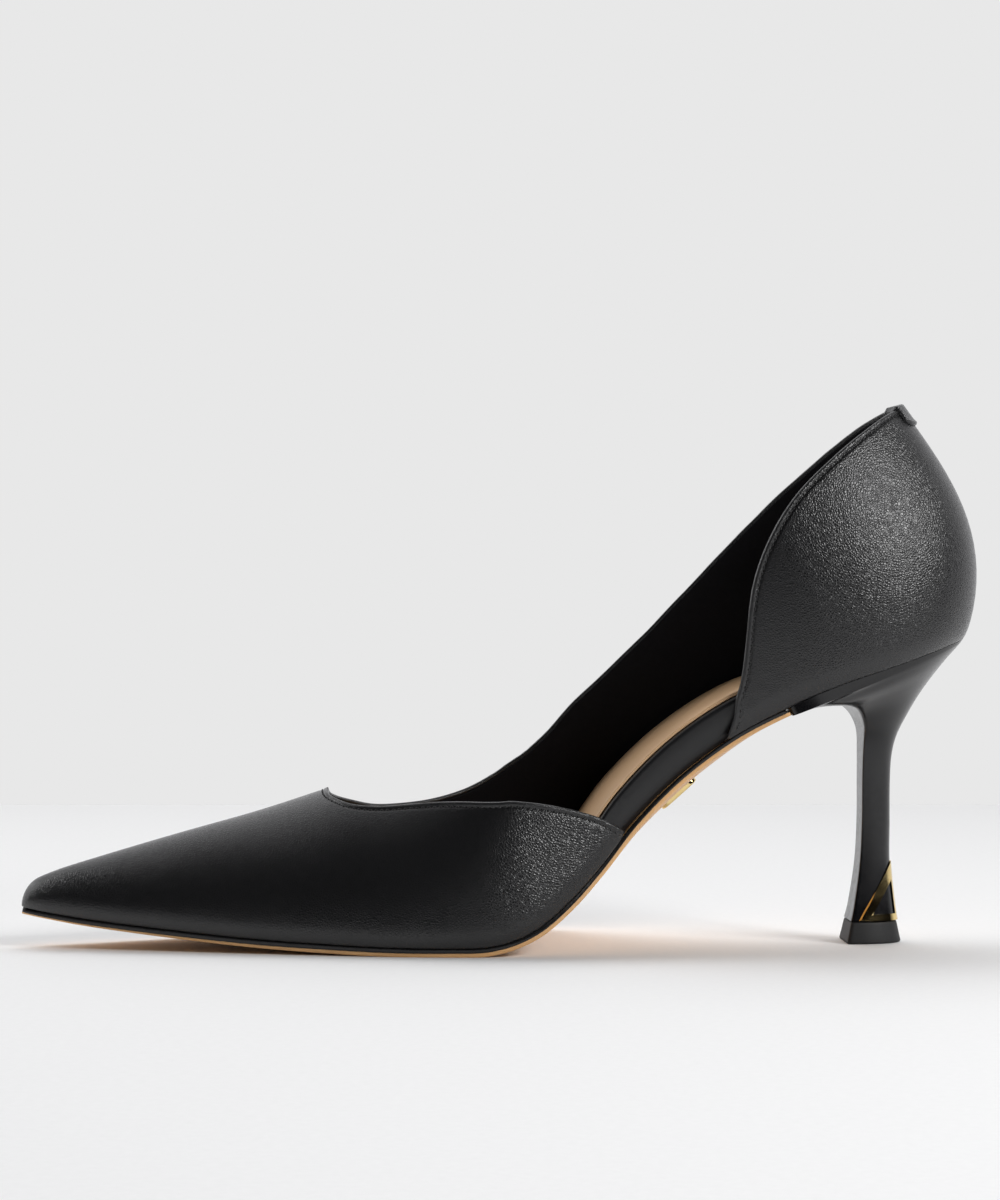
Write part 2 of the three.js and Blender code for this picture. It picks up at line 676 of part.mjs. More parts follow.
// Tab: a strip of leather folded over the back of the collar
function tabShape() {
  const places = [];
  for (let k = -tabSteps; k <= tabSteps; k += 1) {
    const station = lastStation - (Math.abs(k) / tabSteps) * tabSpread;
    places.push({ station, side: k < 0 ? -1 : 1 });
  }
  const innerUp = smoothLine(edgeColumns, quarterEdgeTable, "up");
  const outerUp = throatLine(outerEdgeTable);
  const rings = places.map(({ station, side }) => {
    const crown = sectionAt(station).crown;
    const edge = (side < 0 ? innerUp : outerUp)(shareAt(station));
    const upward = skin(station, edge, side).sub(skin(station, edge - probeStep, side)).normalize();
    const line = (over) => {
      const place = (drop, depth, lift) => {
        const point = insideSkin(station, edge - drop / crown, side, depth);
        return point.addScaledVector(upward, lift);
      };
      const outside = [tabDrop, tabDrop / 2, 0].map((drop) => place(drop, -over, 0));
      const fold = [place(0, -over / 2, over), place(0, wall + over / 2, over)];
      const inside = [0, tabLining / 2, tabLining].map((drop) => place(drop, wall + over, 0));
      return [...outside, ...fold, ...inside];
    };
    return [...line(gap), ...line(gap + tabThickness).reverse()];
  });
  return loft(rings);
}

const materials = {
  leather: new THREE.MeshStandardMaterial({ color: 0x1b1b1d, roughness: 0.42, metalness: 0 }),
  board: new THREE.MeshStandardMaterial({ color: 0x151517, roughness: 0.5, metalness: 0 }),
  sock: new THREE.MeshStandardMaterial({ color: 0xcfb08b, roughness: 0.6, metalness: 0 }),
  tanSole: new THREE.MeshStandardMaterial({ color: 0xd9b48a, roughness: 0.5, metalness: 0 }),
  lacquer: new THREE.MeshStandardMaterial({ color: 0x141416, roughness: 0.3, metalness: 0 }),
  gold: new THREE.MeshStandardMaterial({ color: 0xe0c074, roughness: 0.2, metalness: 1 }),
  rubber: new THREE.MeshStandardMaterial({ color: 0x19191a, roughness: 0.6, metalness: 0 }),
};

function piece(name, geometry, material) {
  const mesh = new THREE.Mesh(geometry, material);
  mesh.name = name;
  return mesh;
}

const pump = new THREE.Group();
const { heel, trim } = heelAndTrim();
pump.add(
  piece("outsole", outsoleShape(), materials.tanSole),
  piece("insole_board", insoleShape(), materials.board),
  piece("sock", sockShape(), materials.sock),
  piece("upper", upperShape(), materials.leather),
  piece("heel_tab", tabShape(), materials.leather),
  piece("heel", heel, materials.lacquer),
  piece("heel_trim", trim, materials.gold),
  piece("top_piece", topPieceShape(), materials.rubber),
  plateMesh(),
);
const box = new THREE.Box3().setFromObject(pump);
const middle = box.getCenter(new THREE.Vector3());
pump.position.set(-middle.x, -middle.y, -box.min.z);

export default pump;
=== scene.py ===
# Pointed toe pump for the right foot: leather, lining, sock, sole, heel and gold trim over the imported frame.
# Shapes are worked out in millimetres from the toe tip and turned to metres when a mesh is made.
import math

import bpy
import numpy as np
from mathutils.kdtree import KDTree
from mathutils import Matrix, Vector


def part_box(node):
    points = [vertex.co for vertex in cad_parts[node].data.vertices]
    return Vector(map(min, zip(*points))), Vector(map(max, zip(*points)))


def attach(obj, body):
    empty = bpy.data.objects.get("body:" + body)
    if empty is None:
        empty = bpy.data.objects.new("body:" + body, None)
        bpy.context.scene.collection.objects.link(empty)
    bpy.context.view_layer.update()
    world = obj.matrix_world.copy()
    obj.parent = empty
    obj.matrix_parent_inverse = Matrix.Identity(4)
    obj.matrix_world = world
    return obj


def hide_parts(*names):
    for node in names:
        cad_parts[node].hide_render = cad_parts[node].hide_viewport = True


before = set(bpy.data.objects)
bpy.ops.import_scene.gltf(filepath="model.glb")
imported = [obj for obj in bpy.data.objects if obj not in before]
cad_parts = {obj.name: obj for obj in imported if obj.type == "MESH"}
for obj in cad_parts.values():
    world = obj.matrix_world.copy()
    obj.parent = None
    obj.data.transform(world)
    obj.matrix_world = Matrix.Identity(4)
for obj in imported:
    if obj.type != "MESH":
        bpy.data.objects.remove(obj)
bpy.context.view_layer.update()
print("frame loaded:", ", ".join(sorted(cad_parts)))

mm = 0.001

# The last that the shoe was made on
last = {
    "length": 246,
    "ballWidth": 75.7,
    "instepHeight": 79.5,
    "seatRise": 77.5,
    "toeSpring": 8.3,
    "cupBow": 9.2,
    "cupSections": 4,
    "wall": 1.8,
    "gap": 0.3,
    "outsole": 2.0,
    "insole": 9.2,
}

# at: place along the length. spring, rise: heights as shares of toeSpring and seatRise. swing, inner, outer:
# middle and half widths as shares of ballWidth. crown: height as a share of instepHeight. lean in degrees.
lastColumns = ["at", "spring", "rise", "swing", "inner", "outer", "crown", "lean", "upright"]
lastTable = [
    [0.000, 1.00, 0.000, -0.059, 0.000, 0.000, 0.000, 0.0, 0.00],
    [0.009, 0.94, 0.000, -0.058, 0.057, 0.057, 0.078, 0.0, 0.00],
    [0.033, 0.83, 0.000, -0.054, 0.102, 0.104, 0.129, 0.0, 0.00],
    [0.081, 0.64, 0.000, -0.045, 0.162, 0.168, 0.196, 0.0, 0.00],
    [0.163, 0.40, 0.000, -0.030, 0.254, 0.264, 0.295, 0.0, 0.00],
    [0.248, 0.19, 0.000, -0.016, 0.341, 0.354, 0.390, 0.0, 0.00],
    [0.322, 0.08, 0.000, -0.008, 0.410, 0.425, 0.475, 0.0, 0.00],
    [0.386, 0.01, 0.000, -0.003, 0.460, 0.473, 0.541, 1.0, 0.00],
    [0.443, 0.00, 0.000, 0.000, 0.489, 0.499, 0.623, 4.0, 0.00],
    [0.492, 0.00, 0.006, 0.000, 0.491, 0.509, 0.717, 9.0, 0.08],
    [0.533, 0.00, 0.050, 0.000, 0.468, 0.502, 0.805, 14.0, 0.18],
    [0.569, 0.00, 0.137, 0.000, 0.425, 0.483, 0.874, 18.0, 0.30],
    [0.604, 0.00, 0.254, 0.000, 0.376, 0.454, 0.925, 21.0, 0.45],
    [0.642, 0.00, 0.401, 0.000, 0.330, 0.420, 0.969, 22.0, 0.62],
    [0.691, 0.00, 0.551, 0.000, 0.301, 0.388, 0.994, 22.0, 0.80],
    [0.748, 0.00, 0.683, 0.000, 0.299, 0.365, 1.000, 20.5, 0.93],
    [0.805, 0.00, 0.778, 0.000, 0.322, 0.354, 0.981, 18.8, 1.00],
    [0.858, 0.00, 0.850, 0.000, 0.338, 0.349, 0.943, 17.6, 1.00],
]
heelBack = {"at": 1.0, "rise": 1.0, "crown": 0.791, "lean": 15.0, "bow": 1.0}
section = {
    "archHeight": 1.75,   # powers of the arch over the foot
    "archWidth": 1.95,
    "swell": 0.13,        # of the standing side wall
    "draw": 0.42,
    "drawPower": 1.6,
    "bowPower": 0.82,
    "tuck": 1.3,
    "tuckHeight": 5.0,
    "tipTuckShare": 0.25,
    "tipInsetShare": 0.2,
}

# Edges of the upper: place along the length, and share of the section's height
throatAt = 0.322
vampEdge = [
    [throatAt, 1], [0.331, 0.934], [0.348, 0.876], [0.373, 0.830], [0.418, 0.771], [0.478, 0.671],
    [0.540, 0.505], [0.564, 0.410], [0.584, 0.317], [0.601, 0.225], [0.616, 0.132], [0.626, 0.053],
    [0.632, 0],
]
outerEdge = [
    [throatAt, 1], [0.346, 0.862], [0.372, 0.790], [0.402, 0.743], [0.440, 0.694], [0.486, 0.648],
    [0.523, 0.596], [0.558, 0.533], [0.588, 0.474], [0.623, 0.430], [0.676, 0.402], [0.709, 0.411],
    [0.757, 0.458], [0.805, 0.538], [0.848, 0.624], [0.886, 0.727], [0.925, 0.838], [0.965, 0.940],
    [0.991, 0.991], [1, 1],
]
quarterEdge = [
    [0.736, 0], [0.748, 0.041], [0.758, 0.107], [0.767, 0.148], [0.776, 0.206], [0.784, 0.265],
    [0.794, 0.342], [0.805, 0.417], [0.820, 0.491], [0.838, 0.563], [0.862, 0.650], [0.882, 0.716],
    [0.913, 0.806], [0.946, 0.889], [0.980, 0.965], [1, 1],
]

# Place along the length, then shares of the insole's thickness, and of the outsole's with its set-back
insoleTable = [
    [0.00, 0.30, 0.00], [0.40, 0.32, 0.00], [0.50, 0.45, 0.02], [0.58, 0.80, 0.08], [0.64, 0.97, 0.14],
    [0.70, 1.00, 0.16], [0.76, 0.95, 0.16], [0.84, 0.70, 0.16], [0.92, 0.50, 0.12], [1.00, 0.45, 0.00],
]
outsoleTable = [
    [0.00, 0.70, 0.80, 0.20], [0.20, 0.95, 1.00, 0.20], [0.38, 1.06, 1.06, 0.20], [0.48, 1.06, 1.06, 0.20],
    [0.50, 1.02, 1.04, 0.20], [0.56, 0.95, 1.10, 0.30], [0.62, 0.90, 1.70, 0.80],
    [0.67, 0.90, 2.05, 1.00], [0.72, 0.90, 1.95, 1.00], [0.77, 0.90, 1.55, 0.60], [0.82, 0.90, 1.25, 0.20],
]


def makeSections():
    rows = [dict(zip(lastColumns, line), bow=0.0) for line in lastTable]
    breast = rows[-1]
    for k in range(1, last["cupSections"] + 1):
        turn = k / last["cupSections"] * math.pi / 2
        row = dict(breast, inner=breast["inner"] * math.cos(turn), outer=breast["outer"] * math.cos(turn))
        for name, end in heelBack.items():
            row[name] = breast[name] + (end - breast[name]) * math.sin(turn)
        rows.append(row)
    share = {name: np.array([row[name] for row in rows]) for name in rows[0]}
    real = {
        "x": share["at"] * last["length"],
        "z": (last["outsole"] + last["gap"] + share["spring"] * last["toeSpring"]
              + share["rise"] * last["seatRise"]),
        "swing": share["swing"] * last["ballWidth"],
        "inner": share["inner"] * last["ballWidth"],
        "outer": share["outer"] * last["ballWidth"],
        "crown": share["crown"] * last["instepHeight"],
        "lean": np.radians(share["lean"]),
        "upright": share["upright"],
        "bow": share["bow"] * last["cupBow"],
    }
    for name, row in real.items():   # one mirrored row beyond each end keeps the ends round
        toeSign = -1 if name in ("inner", "outer", "crown") else 1
        backSign = -1 if name in ("inner", "outer") else 1
        real[name] = np.concatenate([[toeSign * row[1]], row, [backSign * row[-2]]])
    return real


sections = makeSections()
lastStation = len(sections["x"]) - 3


def through(a, b, c, d, t):
    # a smooth curve from b to c, led by the values on both sides of them
    bend = (2 * a - 5 * b + 4 * c - d) * t ** 2 + (3 * b - a - 3 * c + d) * t ** 3
    return 0.5 * (2 * b + (c - a) * t + bend)


def sectionAt(station):
    station = np.asarray(station, float)
    index = np.clip(np.floor(station).astype(int), 0, lastStation - 1)
    t = station - index
    return {name: through(*(row[index + k] for k in range(4)), t) for name, row in sections.items()}


nudge = 1e-3   # step for finding slopes, in stations and in shares of the height
denseStations = np.linspace(0, lastStation, 4001)
denseAt = sectionAt(denseStations)["x"] / last["length"]


def stationAt(at):
    return np.interp(at, denseAt, denseStations)


def shareAt(station):
    return sectionAt(station)["x"] / last["length"]


def eased(t):
    return t ** 2 * (3 - 2 * t)


def lengthAlong(path):
    return np.concatenate([[0], np.cumsum(np.linalg.norm(np.diff(path, axis=0), axis=1))])


def smoothLine(table, column=1):
    # a curve through the table's rows that never overshoots them
    rows = np.array(table, float)
    at, value = rows[:, 0], rows[:, column]
    slope = np.diff(value) / np.diff(at)
    left, right = np.append(slope[0], slope), np.append(slope, slope[-1])
    product = left * right
    tangent = np.where(product > 0, 2 * product / np.where(product > 0, left + right, 1), 0)

    def line(place):
        place = np.asarray(place, float)
        i = np.clip(np.searchsorted(at, place, side="right") - 1, 0, len(at) - 2)
        span = at[i + 1] - at[i]
        t = np.clip((place - at[i]) / span, 0, 1)
        rest = 1 - t
        ends = value[i] * rest ** 2 * (1 + 2 * t) + value[i + 1] * t ** 2 * (3 - 2 * t)
        return ends + span * t * rest * (tangent[i] * rest - tangent[i + 1] * t)

    return line


def throatLine(table):
    # the edge leaves the throat as the square root of the way along, so the curve is drawn on that
    line = smoothLine([[math.sqrt(at - throatAt), up] for at, up in table])
    return lambda at: line(np.sqrt(np.maximum(0, at - throatAt)))


def skin(station, up, side):
    # a point of the last's skin: up is the share of the section's height, side -1 inner or 1 outer
    station, up, side = np.broadcast_arrays(np.asarray(station, float), np.clip(up, 0, 1), side)
    beyond = (station > lastStation) | (station < 0)
    side = np.where(beyond, -side, side)
    station = np.where(station > lastStation, 2 * lastStation - station, np.abs(station))
    here = sectionAt(station)
    half = np.where(side < 0, here["inner"], here["outer"])
    height = up * here["crown"]
    arch = (1 - up ** section["archHeight"]) ** (1 / section["archWidth"])
    standing = 1 + section["swell"] * 4 * up * (1 - up) - section["draw"] * up ** section["drawPower"]
    tuckHeight = np.maximum(np.minimum(section["tuckHeight"], here["crown"] / 2), 1e-6)
    tuck = np.clip(1 - height / tuckHeight, 0, 1) ** 2
    tuck = tuck * np.minimum(section["tuck"], half * section["tipTuckShare"])
    spread = half * (arch + (standing - arch) * here["upright"]) - tuck
    bow = here["bow"] * np.sin(np.pi * up ** section["bowPower"])
    sin, cos = np.sin(here["lean"]), np.cos(here["lean"])
    x = here["x"] - height * sin + bow * cos
    return np.stack([x, here["swing"] + side * spread, here["z"] + height * cos + bow * sin], -1)


def unit(vectors):
    length = np.linalg.norm(vectors, axis=-1, keepdims=True)
    return vectors / np.maximum(length, 1e-9)


def slopes(station, up, side):
    # small steps over the skin, along the shoe and up the section
    along = skin(station + nudge, up, side) - skin(station - nudge, up, side)
    return along, skin(station, up + nudge, side) - skin(station, up - nudge, side)


def levelled(normals, station, up):
    # near the foot of the wall the way into the shoe runs level with the feather line
    station, up = np.broadcast_arrays(np.asarray(station, float), up)
    here = sectionAt(station)
    upright = np.stack([-np.sin(here["lean"]), 0 * here["lean"], np.cos(here["lean"])], -1)
    foot = np.clip(1 - up * here["crown"] / last["wall"], 0, 1)
    lift = (normals * upright).sum(-1)
    return unit(normals - upright * (foot * lift)[..., None])


def outwardFrom(station, up, side):
    # square to the skin. On the ridge it stands in the middle plane, and at the toe tip it points ahead.
    station, up, side = np.broadcast_arrays(np.asarray(station, float), up, side)
    along, rise = slopes(station, up, side)
    ridge = (up > 0.9999) & (station < lastStation / 2)
    rise[ridge] = np.stack([0 * side, -side, 0 * side], -1)[ridge]
    outward = unit(np.cross(rise, along) * side[..., None])
    outward[station < 1e-6] = [-1, 0, 0]
    return outward


def insideSkin(station, up, side, depth):
    outward = levelled(outwardFrom(station, up, side), station, up)
    return skin(station, up, side) - outward * depth


# The frame gives the place: the tip of the upper's box is the toe tip, and its middle is the wall's middle
upperLow, upperHigh = (np.array(corner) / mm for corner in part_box("upper"))
wallStations = np.linspace(0, lastStation, 600)
wallSpan = [skin(wallStations[:, None], np.linspace(0, 1, 80), side)[..., 1] for side in (-1, 1)]
wallMiddle = (wallSpan[0].min() + wallSpan[1].max()) / 2
shift = np.array([upperLow[0], (upperLow[1] + upperHigh[1]) / 2 - wallMiddle, 0])
print("last laid out, shifted by", np.round(shift, 2), "mm")


def weldPoints(points, places=3):
    # points that share a place become one, and each old index is told its new one
    _, first, index = np.unique(np.round(points, places), axis=0, return_index=True, return_inverse=True)
    return points[first], index.reshape(-1)


def cleanFaces(faces):
    kept = []
    for face in faces:
        face = [int(v) for k, v in enumerate(face) if v != face[k - 1]]
        if len(set(face)) > 2 and len(set(face)) == len(face):
            kept.append(face)
    return kept


def newObject(name, points, faces):
    mesh = bpy.data.meshes.new(name)
    mesh.from_pydata((np.asarray(points, float) * mm).tolist(), [], faces)
    mesh.validate()
    made = bpy.data.objects.new(name, mesh)
    bpy.context.scene.collection.objects.link(made)
    return made


def dress(piece, material):
    mesh = piece.data
    mesh.polygons.foreach_set("use_smooth", [True] * len(mesh.polygons))
    mesh.materials.clear()
    mesh.materials.append(material)


def makePiece(name, points, faces, material, slot, replaces=()):
    piece = newObject(name, np.asarray(points, float) + shift, faces)
    dress(piece, material)
    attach(piece, "root")
    if replaces:
        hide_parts(*replaces)
    return piece


def loftFaces(rings, count):
    # quads between closed rings of points
    faces = []
    for i in range(rings - 1):
        for j in range(count):
            k = (j + 1) % count
            faces.append([i * count + j, i * count + k, (i + 1) * count + k, (i + 1) * count + j])
    return faces


def capFaces(first, count, flip):
    # rungs across a ring, which close the end of a loft
    faces = []
    for j in range((count - 1) // 2):
        face = [first + j, first + j + 1, first + count - 2 - j, first + count - 1 - j]
        faces.append(face if flip else face[::-1])
    return faces


def facedOutward(points, faces):
    volume = 0
    for face in faces:
        a = points[face[0]]
        for b, c in zip(face[1:], face[2:]):
            volume += np.dot(a, np.cross(points[b], points[c]))
    return faces if volume > 0 else [face[::-1] for face in faces]


def loft(name, rings, material, slot, replaces=()):
    count = len(rings[0])
    points, index = weldPoints(np.concatenate(rings))
    faces = loftFaces(len(rings), count)
    faces += capFaces(0, count, False) + capFaces((len(rings) - 1) * count, count, True)
    faces = cleanFaces([[index[v] for v in face] for face in faces])
    return makePiece(name, points, facedOutward(points, faces), material, slot, replaces)


def closedRings(rings):
    # points and faces of a solid through closed rings, with one flat face at each end
    count = len(rings[0])
    start = list(range(count))
    end = [(len(rings) - 1) * count + j for j in start]
    points = np.concatenate(rings)
    return points, facedOutward(points, loftFaces(len(rings), count) + [start[::-1], end])


# Materials
def linear(hexColour):
    parts = [int(hexColour[k:k + 2], 16) / 255 for k in (1, 3, 5)]
    return [c / 12.92 if c <= 0.04045 else ((c + 0.055) / 1.055) ** 2.4 for c in parts] + [1.0]


def addNode(tree, kind, settings=None, links=None):
    node = tree.nodes.new(kind)
    for name, value in (settings or {}).items():
        if isinstance(name, int) or name in node.inputs:
            node.inputs[name].default_value = value
        else:
            setattr(node, name, value)
    for name, socket in (links or {}).items():
        tree.links.new(socket, node.inputs[name])
    return node


def newMaterial(name, shader):
    material = bpy.data.materials.new(name)
    material.use_nodes = True
    tree = material.node_tree
    tree.nodes.clear()
    surface = addNode(tree, "ShaderNodeBsdfPrincipled", shader)
    addNode(tree, "ShaderNodeOutputMaterial", links={"Surface": surface.outputs["BSDF"]})
    place = addNode(tree, "ShaderNodeTexCoord").outputs["Object"]
    return material, tree, surface, place


def feed(tree, surface, sockets):
    for name, socket in sockets.items():
        tree.links.new(socket, surface.inputs[name])


def blend(tree, factor, dark, light):
    node = addNode(tree, "ShaderNodeMix", {"data_type": "RGBA"}, {0: factor})
    node.inputs[6].default_value = linear(dark)
    node.inputs[7].default_value = linear(light)
    return node.outputs[2]


def remap(tree, value, fromLow, fromHigh, toLow, toHigh):
    settings = {"From Min": fromLow, "From Max": fromHigh, "To Min": toLow, "To Max": toHigh}
    return addNode(tree, "ShaderNodeMapRange", settings, {"Value": value}).outputs["Result"]


def drummedCalf(name="drummed calf leather"):
    # milled calf: polished pebbles between matt grooves, so a highlight breaks up into fine sparkle
    # (the pebbles are drawn at their real size of about 0.6 mm)
    look = {
        "dark": "#09090b",
        "light": "#101012",
        "cloud": 18.0,         # mm between the uneven spots of dye
        "pebble": 0.62,
        "pebbleHeight": 0.046,
        "fine": 0.25,
        "fineHeight": 0.006,
        "grooveRough": 0.5,
        "topRough": 0.3,
    }
    finish = {"IOR": 1.5, "Specular IOR Level": 0.45, "Coat Weight": 0.5, "Coat Roughness": 0.23}
    domeEdge, topStart, topEnd = 0.32, 0.03, 0.16   # distance from a pebble's rim, as a share of its size
    material, tree, surface, place = newMaterial(name, finish)
    dye = {"Scale": 1 / (look["cloud"] * mm), "Detail": 3.0}
    cloud = addNode(tree, "ShaderNodeTexNoise", dye, {"Vector": place}).outputs["Fac"]
    cells = {"feature": "DISTANCE_TO_EDGE", "Scale": 1 / (look["pebble"] * mm)}
    fromRim = addNode(tree, "ShaderNodeTexVoronoi", cells, {"Vector": place}).outputs["Distance"]
    dome = remap(tree, fromRim, 0, domeEdge, 0, 1)
    top = remap(tree, fromRim, topStart, topEnd, 0, 1)
    pores = {"Scale": 1 / (look["fine"] * mm), "Detail": 2.0}
    fine = addNode(tree, "ShaderNodeTexNoise", pores, {"Vector": place}).outputs["Fac"]
    relief = {"Strength": 1.0, "Distance": look["pebbleHeight"] * mm}
    pebbled = addNode(tree, "ShaderNodeBump", relief, {"Height": dome}).outputs["Normal"]
    relief = {"Strength": 1.0, "Distance": look["fineHeight"] * mm}
    bump = addNode(tree, "ShaderNodeBump", relief, {"Height": fine, "Normal": pebbled}).outputs["Normal"]
    feed(tree, surface, {
        "Base Color": blend(tree, cloud, look["dark"], look["light"]),
        "Roughness": remap(tree, top, 0, 1, look["grooveRough"], look["topRough"]),
        "Normal": bump,
        "Coat Normal": bump,
    })
    return material


def smoothLeather(name, dark, light, rough, pore, depth, shine=0.5):
    # a skin or coat with nearly no grain, only shallow pores, so its sheen runs unbroken
    # pore and depth: size and depth of the pores in mm
    look = {"cloud": 14.0, "spread": 0.04}   # mm between spots of dye, and how far roughness strays
    material, tree, surface, place = newMaterial(name, {"IOR": 1.5, "Specular IOR Level": shine})
    dye = {"Scale": 1 / (look["cloud"] * mm), "Detail": 3.0}
    cloud = addNode(tree, "ShaderNodeTexNoise", dye, {"Vector": place}).outputs["Fac"]
    pores = {"Scale": 1 / (pore * mm), "Detail": 4.0}
    grain = addNode(tree, "ShaderNodeTexNoise", pores, {"Vector": place}).outputs["Fac"]
    relief = {"Strength": 1.0, "Distance": depth * mm}
    feed(tree, surface, {
        "Base Color": blend(tree, cloud, dark, light),
        "Roughness": remap(tree, grain, 0.3, 0.7, rough - look["spread"], rough + look["spread"]),
        "Normal": addNode(tree, "ShaderNodeBump", relief, {"Height": grain}).outputs["Normal"],
    })
    return material


def polishedBrass(name="polished gold plated zinc"):
    # plated die casting: mirror gloss, with faint polishing waves
    look = {"wave": 4, "depth": 0.02, "rough": [0.06, 0.11]}
    material, tree, surface, place = newMaterial(name, {"Metallic": 1.0})
    waves = {"Scale": 1 / (look["wave"] * mm), "Detail": 2.0}
    wave = addNode(tree, "ShaderNodeTexNoise", waves, {"Vector": place}).outputs["Fac"]
    relief = {"Strength": 1.0, "Distance": look["depth"] * mm}
    feed(tree, surface, {
        "Base Color": blend(tree, wave, "#e0c27c", "#efd9a2"),
        "Roughness": remap(tree, wave, 0.3, 0.7, *look["rough"]),
        "Normal": addNode(tree, "ShaderNodeBump", relief, {"Height": wave}).outputs["Normal"],
    })
    return material


calf = drummedCalf()
# colours, roughness, pores in mm, and what each finish gives the eye
# pigskin: matt and nearly black, so the inside of the shoe swallows the light
liningSkin = smoothLeather("pigskin lining", "#090a0f", "#0e0f15", 0.75, 0.5, 0.02, 0.2)
# glazed wrap: a soft gloss along the black strip in the cut-out
wrapSkin = smoothLeather("glazed wrap leather", "#0d0d0f", "#131315", 0.42, 0.35, 0.012)
# vegetable tanned: warm beige, matt to the hand, a little uneven in colour
sockSkin = smoothLeather("vegetable tanned sock leather", "#c6a077", "#d2ae86", 0.55, 0.4, 0.02)
# sanded and waxed: tan with a dull satin that catches the floor's light
soleLeather = smoothLeather("sanded and waxed sole leather", "#d9a66c", "#e4b680", 0.5, 0.3, 0.012)
# burnished paint: a thin glossy black line between upper and sole
edgePaint = smoothLeather("burnished edge paint", "#0c0b0b", "#121111", 0.22, 1.2, 0.02)
# sprayed lacquer: level and grainless, with long clean highlights down the heel
lacquer = smoothLeather("sprayed satin lacquer on moulded ABS", "#0c0c0e", "#111113", 0.22, 1.5, 0.002)
# moulded rubber: greyer and duller than the heel over it
rubber = smoothLeather("moulded polyurethane rubber", "#151516", "#1b1b1c", 0.6, 0.25, 0.03)
# nylon thread: a short glint on every stitch
thread = smoothLeather("bonded nylon thread", "#101011", "#161617", 0.32, 0.2, 0.01)
# needle holes: near-black discs without gloss, painted shade standing in for the dark inside of each hole
needleHoleShade = smoothLeather("needle hole painted shade", "#010101", "#020202", 0.95, 0.2, 0.01)
gold = polishedBrass()
print("materials ready")

# Upper
upperWall = {
    "perSection": 8,
    "leather": 1.25,       # thickness of leather and fold
    "liningFrom": 1.3,
    "liningSetback": 0.75,
    "bead": 0.14,          # height of the folded edge over the leather beside the stitches
    "beadEnds": [0.5, 0.9, 1.6],   # where the bead is full, begins to fall and ends
    "grooveAt": 1.6,
    "grooveDepth": 0.22,
    "grooveWidth": 0.38,
    "edgeRows": [0, 0.04, 0.12, 0.25, 0.42, 0.62, 0.85, 1.1, 1.35, 1.55, 1.7, 1.85, 2.05, 2.3, 2.7, 3.3, 4.2],
    "footRows": [0, 0.6, 1.4, 2.4, 3.6, 5],
    "middleRows": 16,
    "edgeShare": 0.55,     # most of a column that the rows of the edge and of the foot may take
    "footShare": 0.3,
    "leastSlant": 0.35,    # keeps the edge rows together where the edge runs along a column
    "throatSpan": [0.4, 0.6],  # stations before and after the throat over which the columns close up
    "throatColumns": 14,
}
edgeSteps, arcSteps = 700, 240   # points along an edge, and up a column of the wall
stitch = {"setback": 1.6, "pitch": 1.55, "phase": 0.5, "length": 0.95, "thick": 0.5, "sunk": 0.1}
# the needle hole discs sit sunk between the stitches and carry the painted shade of the holes
hole = dict(stitch, phase=0.0, length=0.62, thick=0.66, sunk=0.38)


def edgeLine(table, side, setback):
    # stations and heights along an edge, moved square to it into the leather by a setback
    line = smoothLine(table)
    start, end = table[0][0], table[-1][0]
    way = np.linspace(0, 1, edgeSteps)
    if start == throatAt:
        line = throatLine(table)
        way = way ** 2
    at = start + (end - start) * way
    station, up = stationAt(at), line(at)
    if setback == 0:
        return station, up
    tangent = np.gradient(skin(station, up, side), axis=0)
    along, rise = slopes(station, up, side)
    along = along / (2 * nudge)
    rise = rise / (np.minimum(up + nudge, 1) - np.maximum(up - nudge, 0))[:, None]
    inward = unit(np.cross(np.cross(along, rise), tangent))
    if (inward * rise)[edgeSteps // 2].sum() > 0:
        inward = -inward
    aa, ar, rr = (along * along).sum(1), (along * rise).sum(1), (rise * rise).sum(1)
    ia, ir = (inward * along).sum(1), (inward * rise).sum(1)
    spread = aa * rr - ar ** 2
    moved = station + setback * (ia * rr - ir * ar) / spread
    lowered = up + setback * (ir * aa - ia * ar) / spread
    return moved, np.minimum(lowered, 1)


def edgeEnd(station, up):
    # where an edge meets the feather line
    order = np.argsort(up)
    return float(np.interp(0, up[order], station[order]))


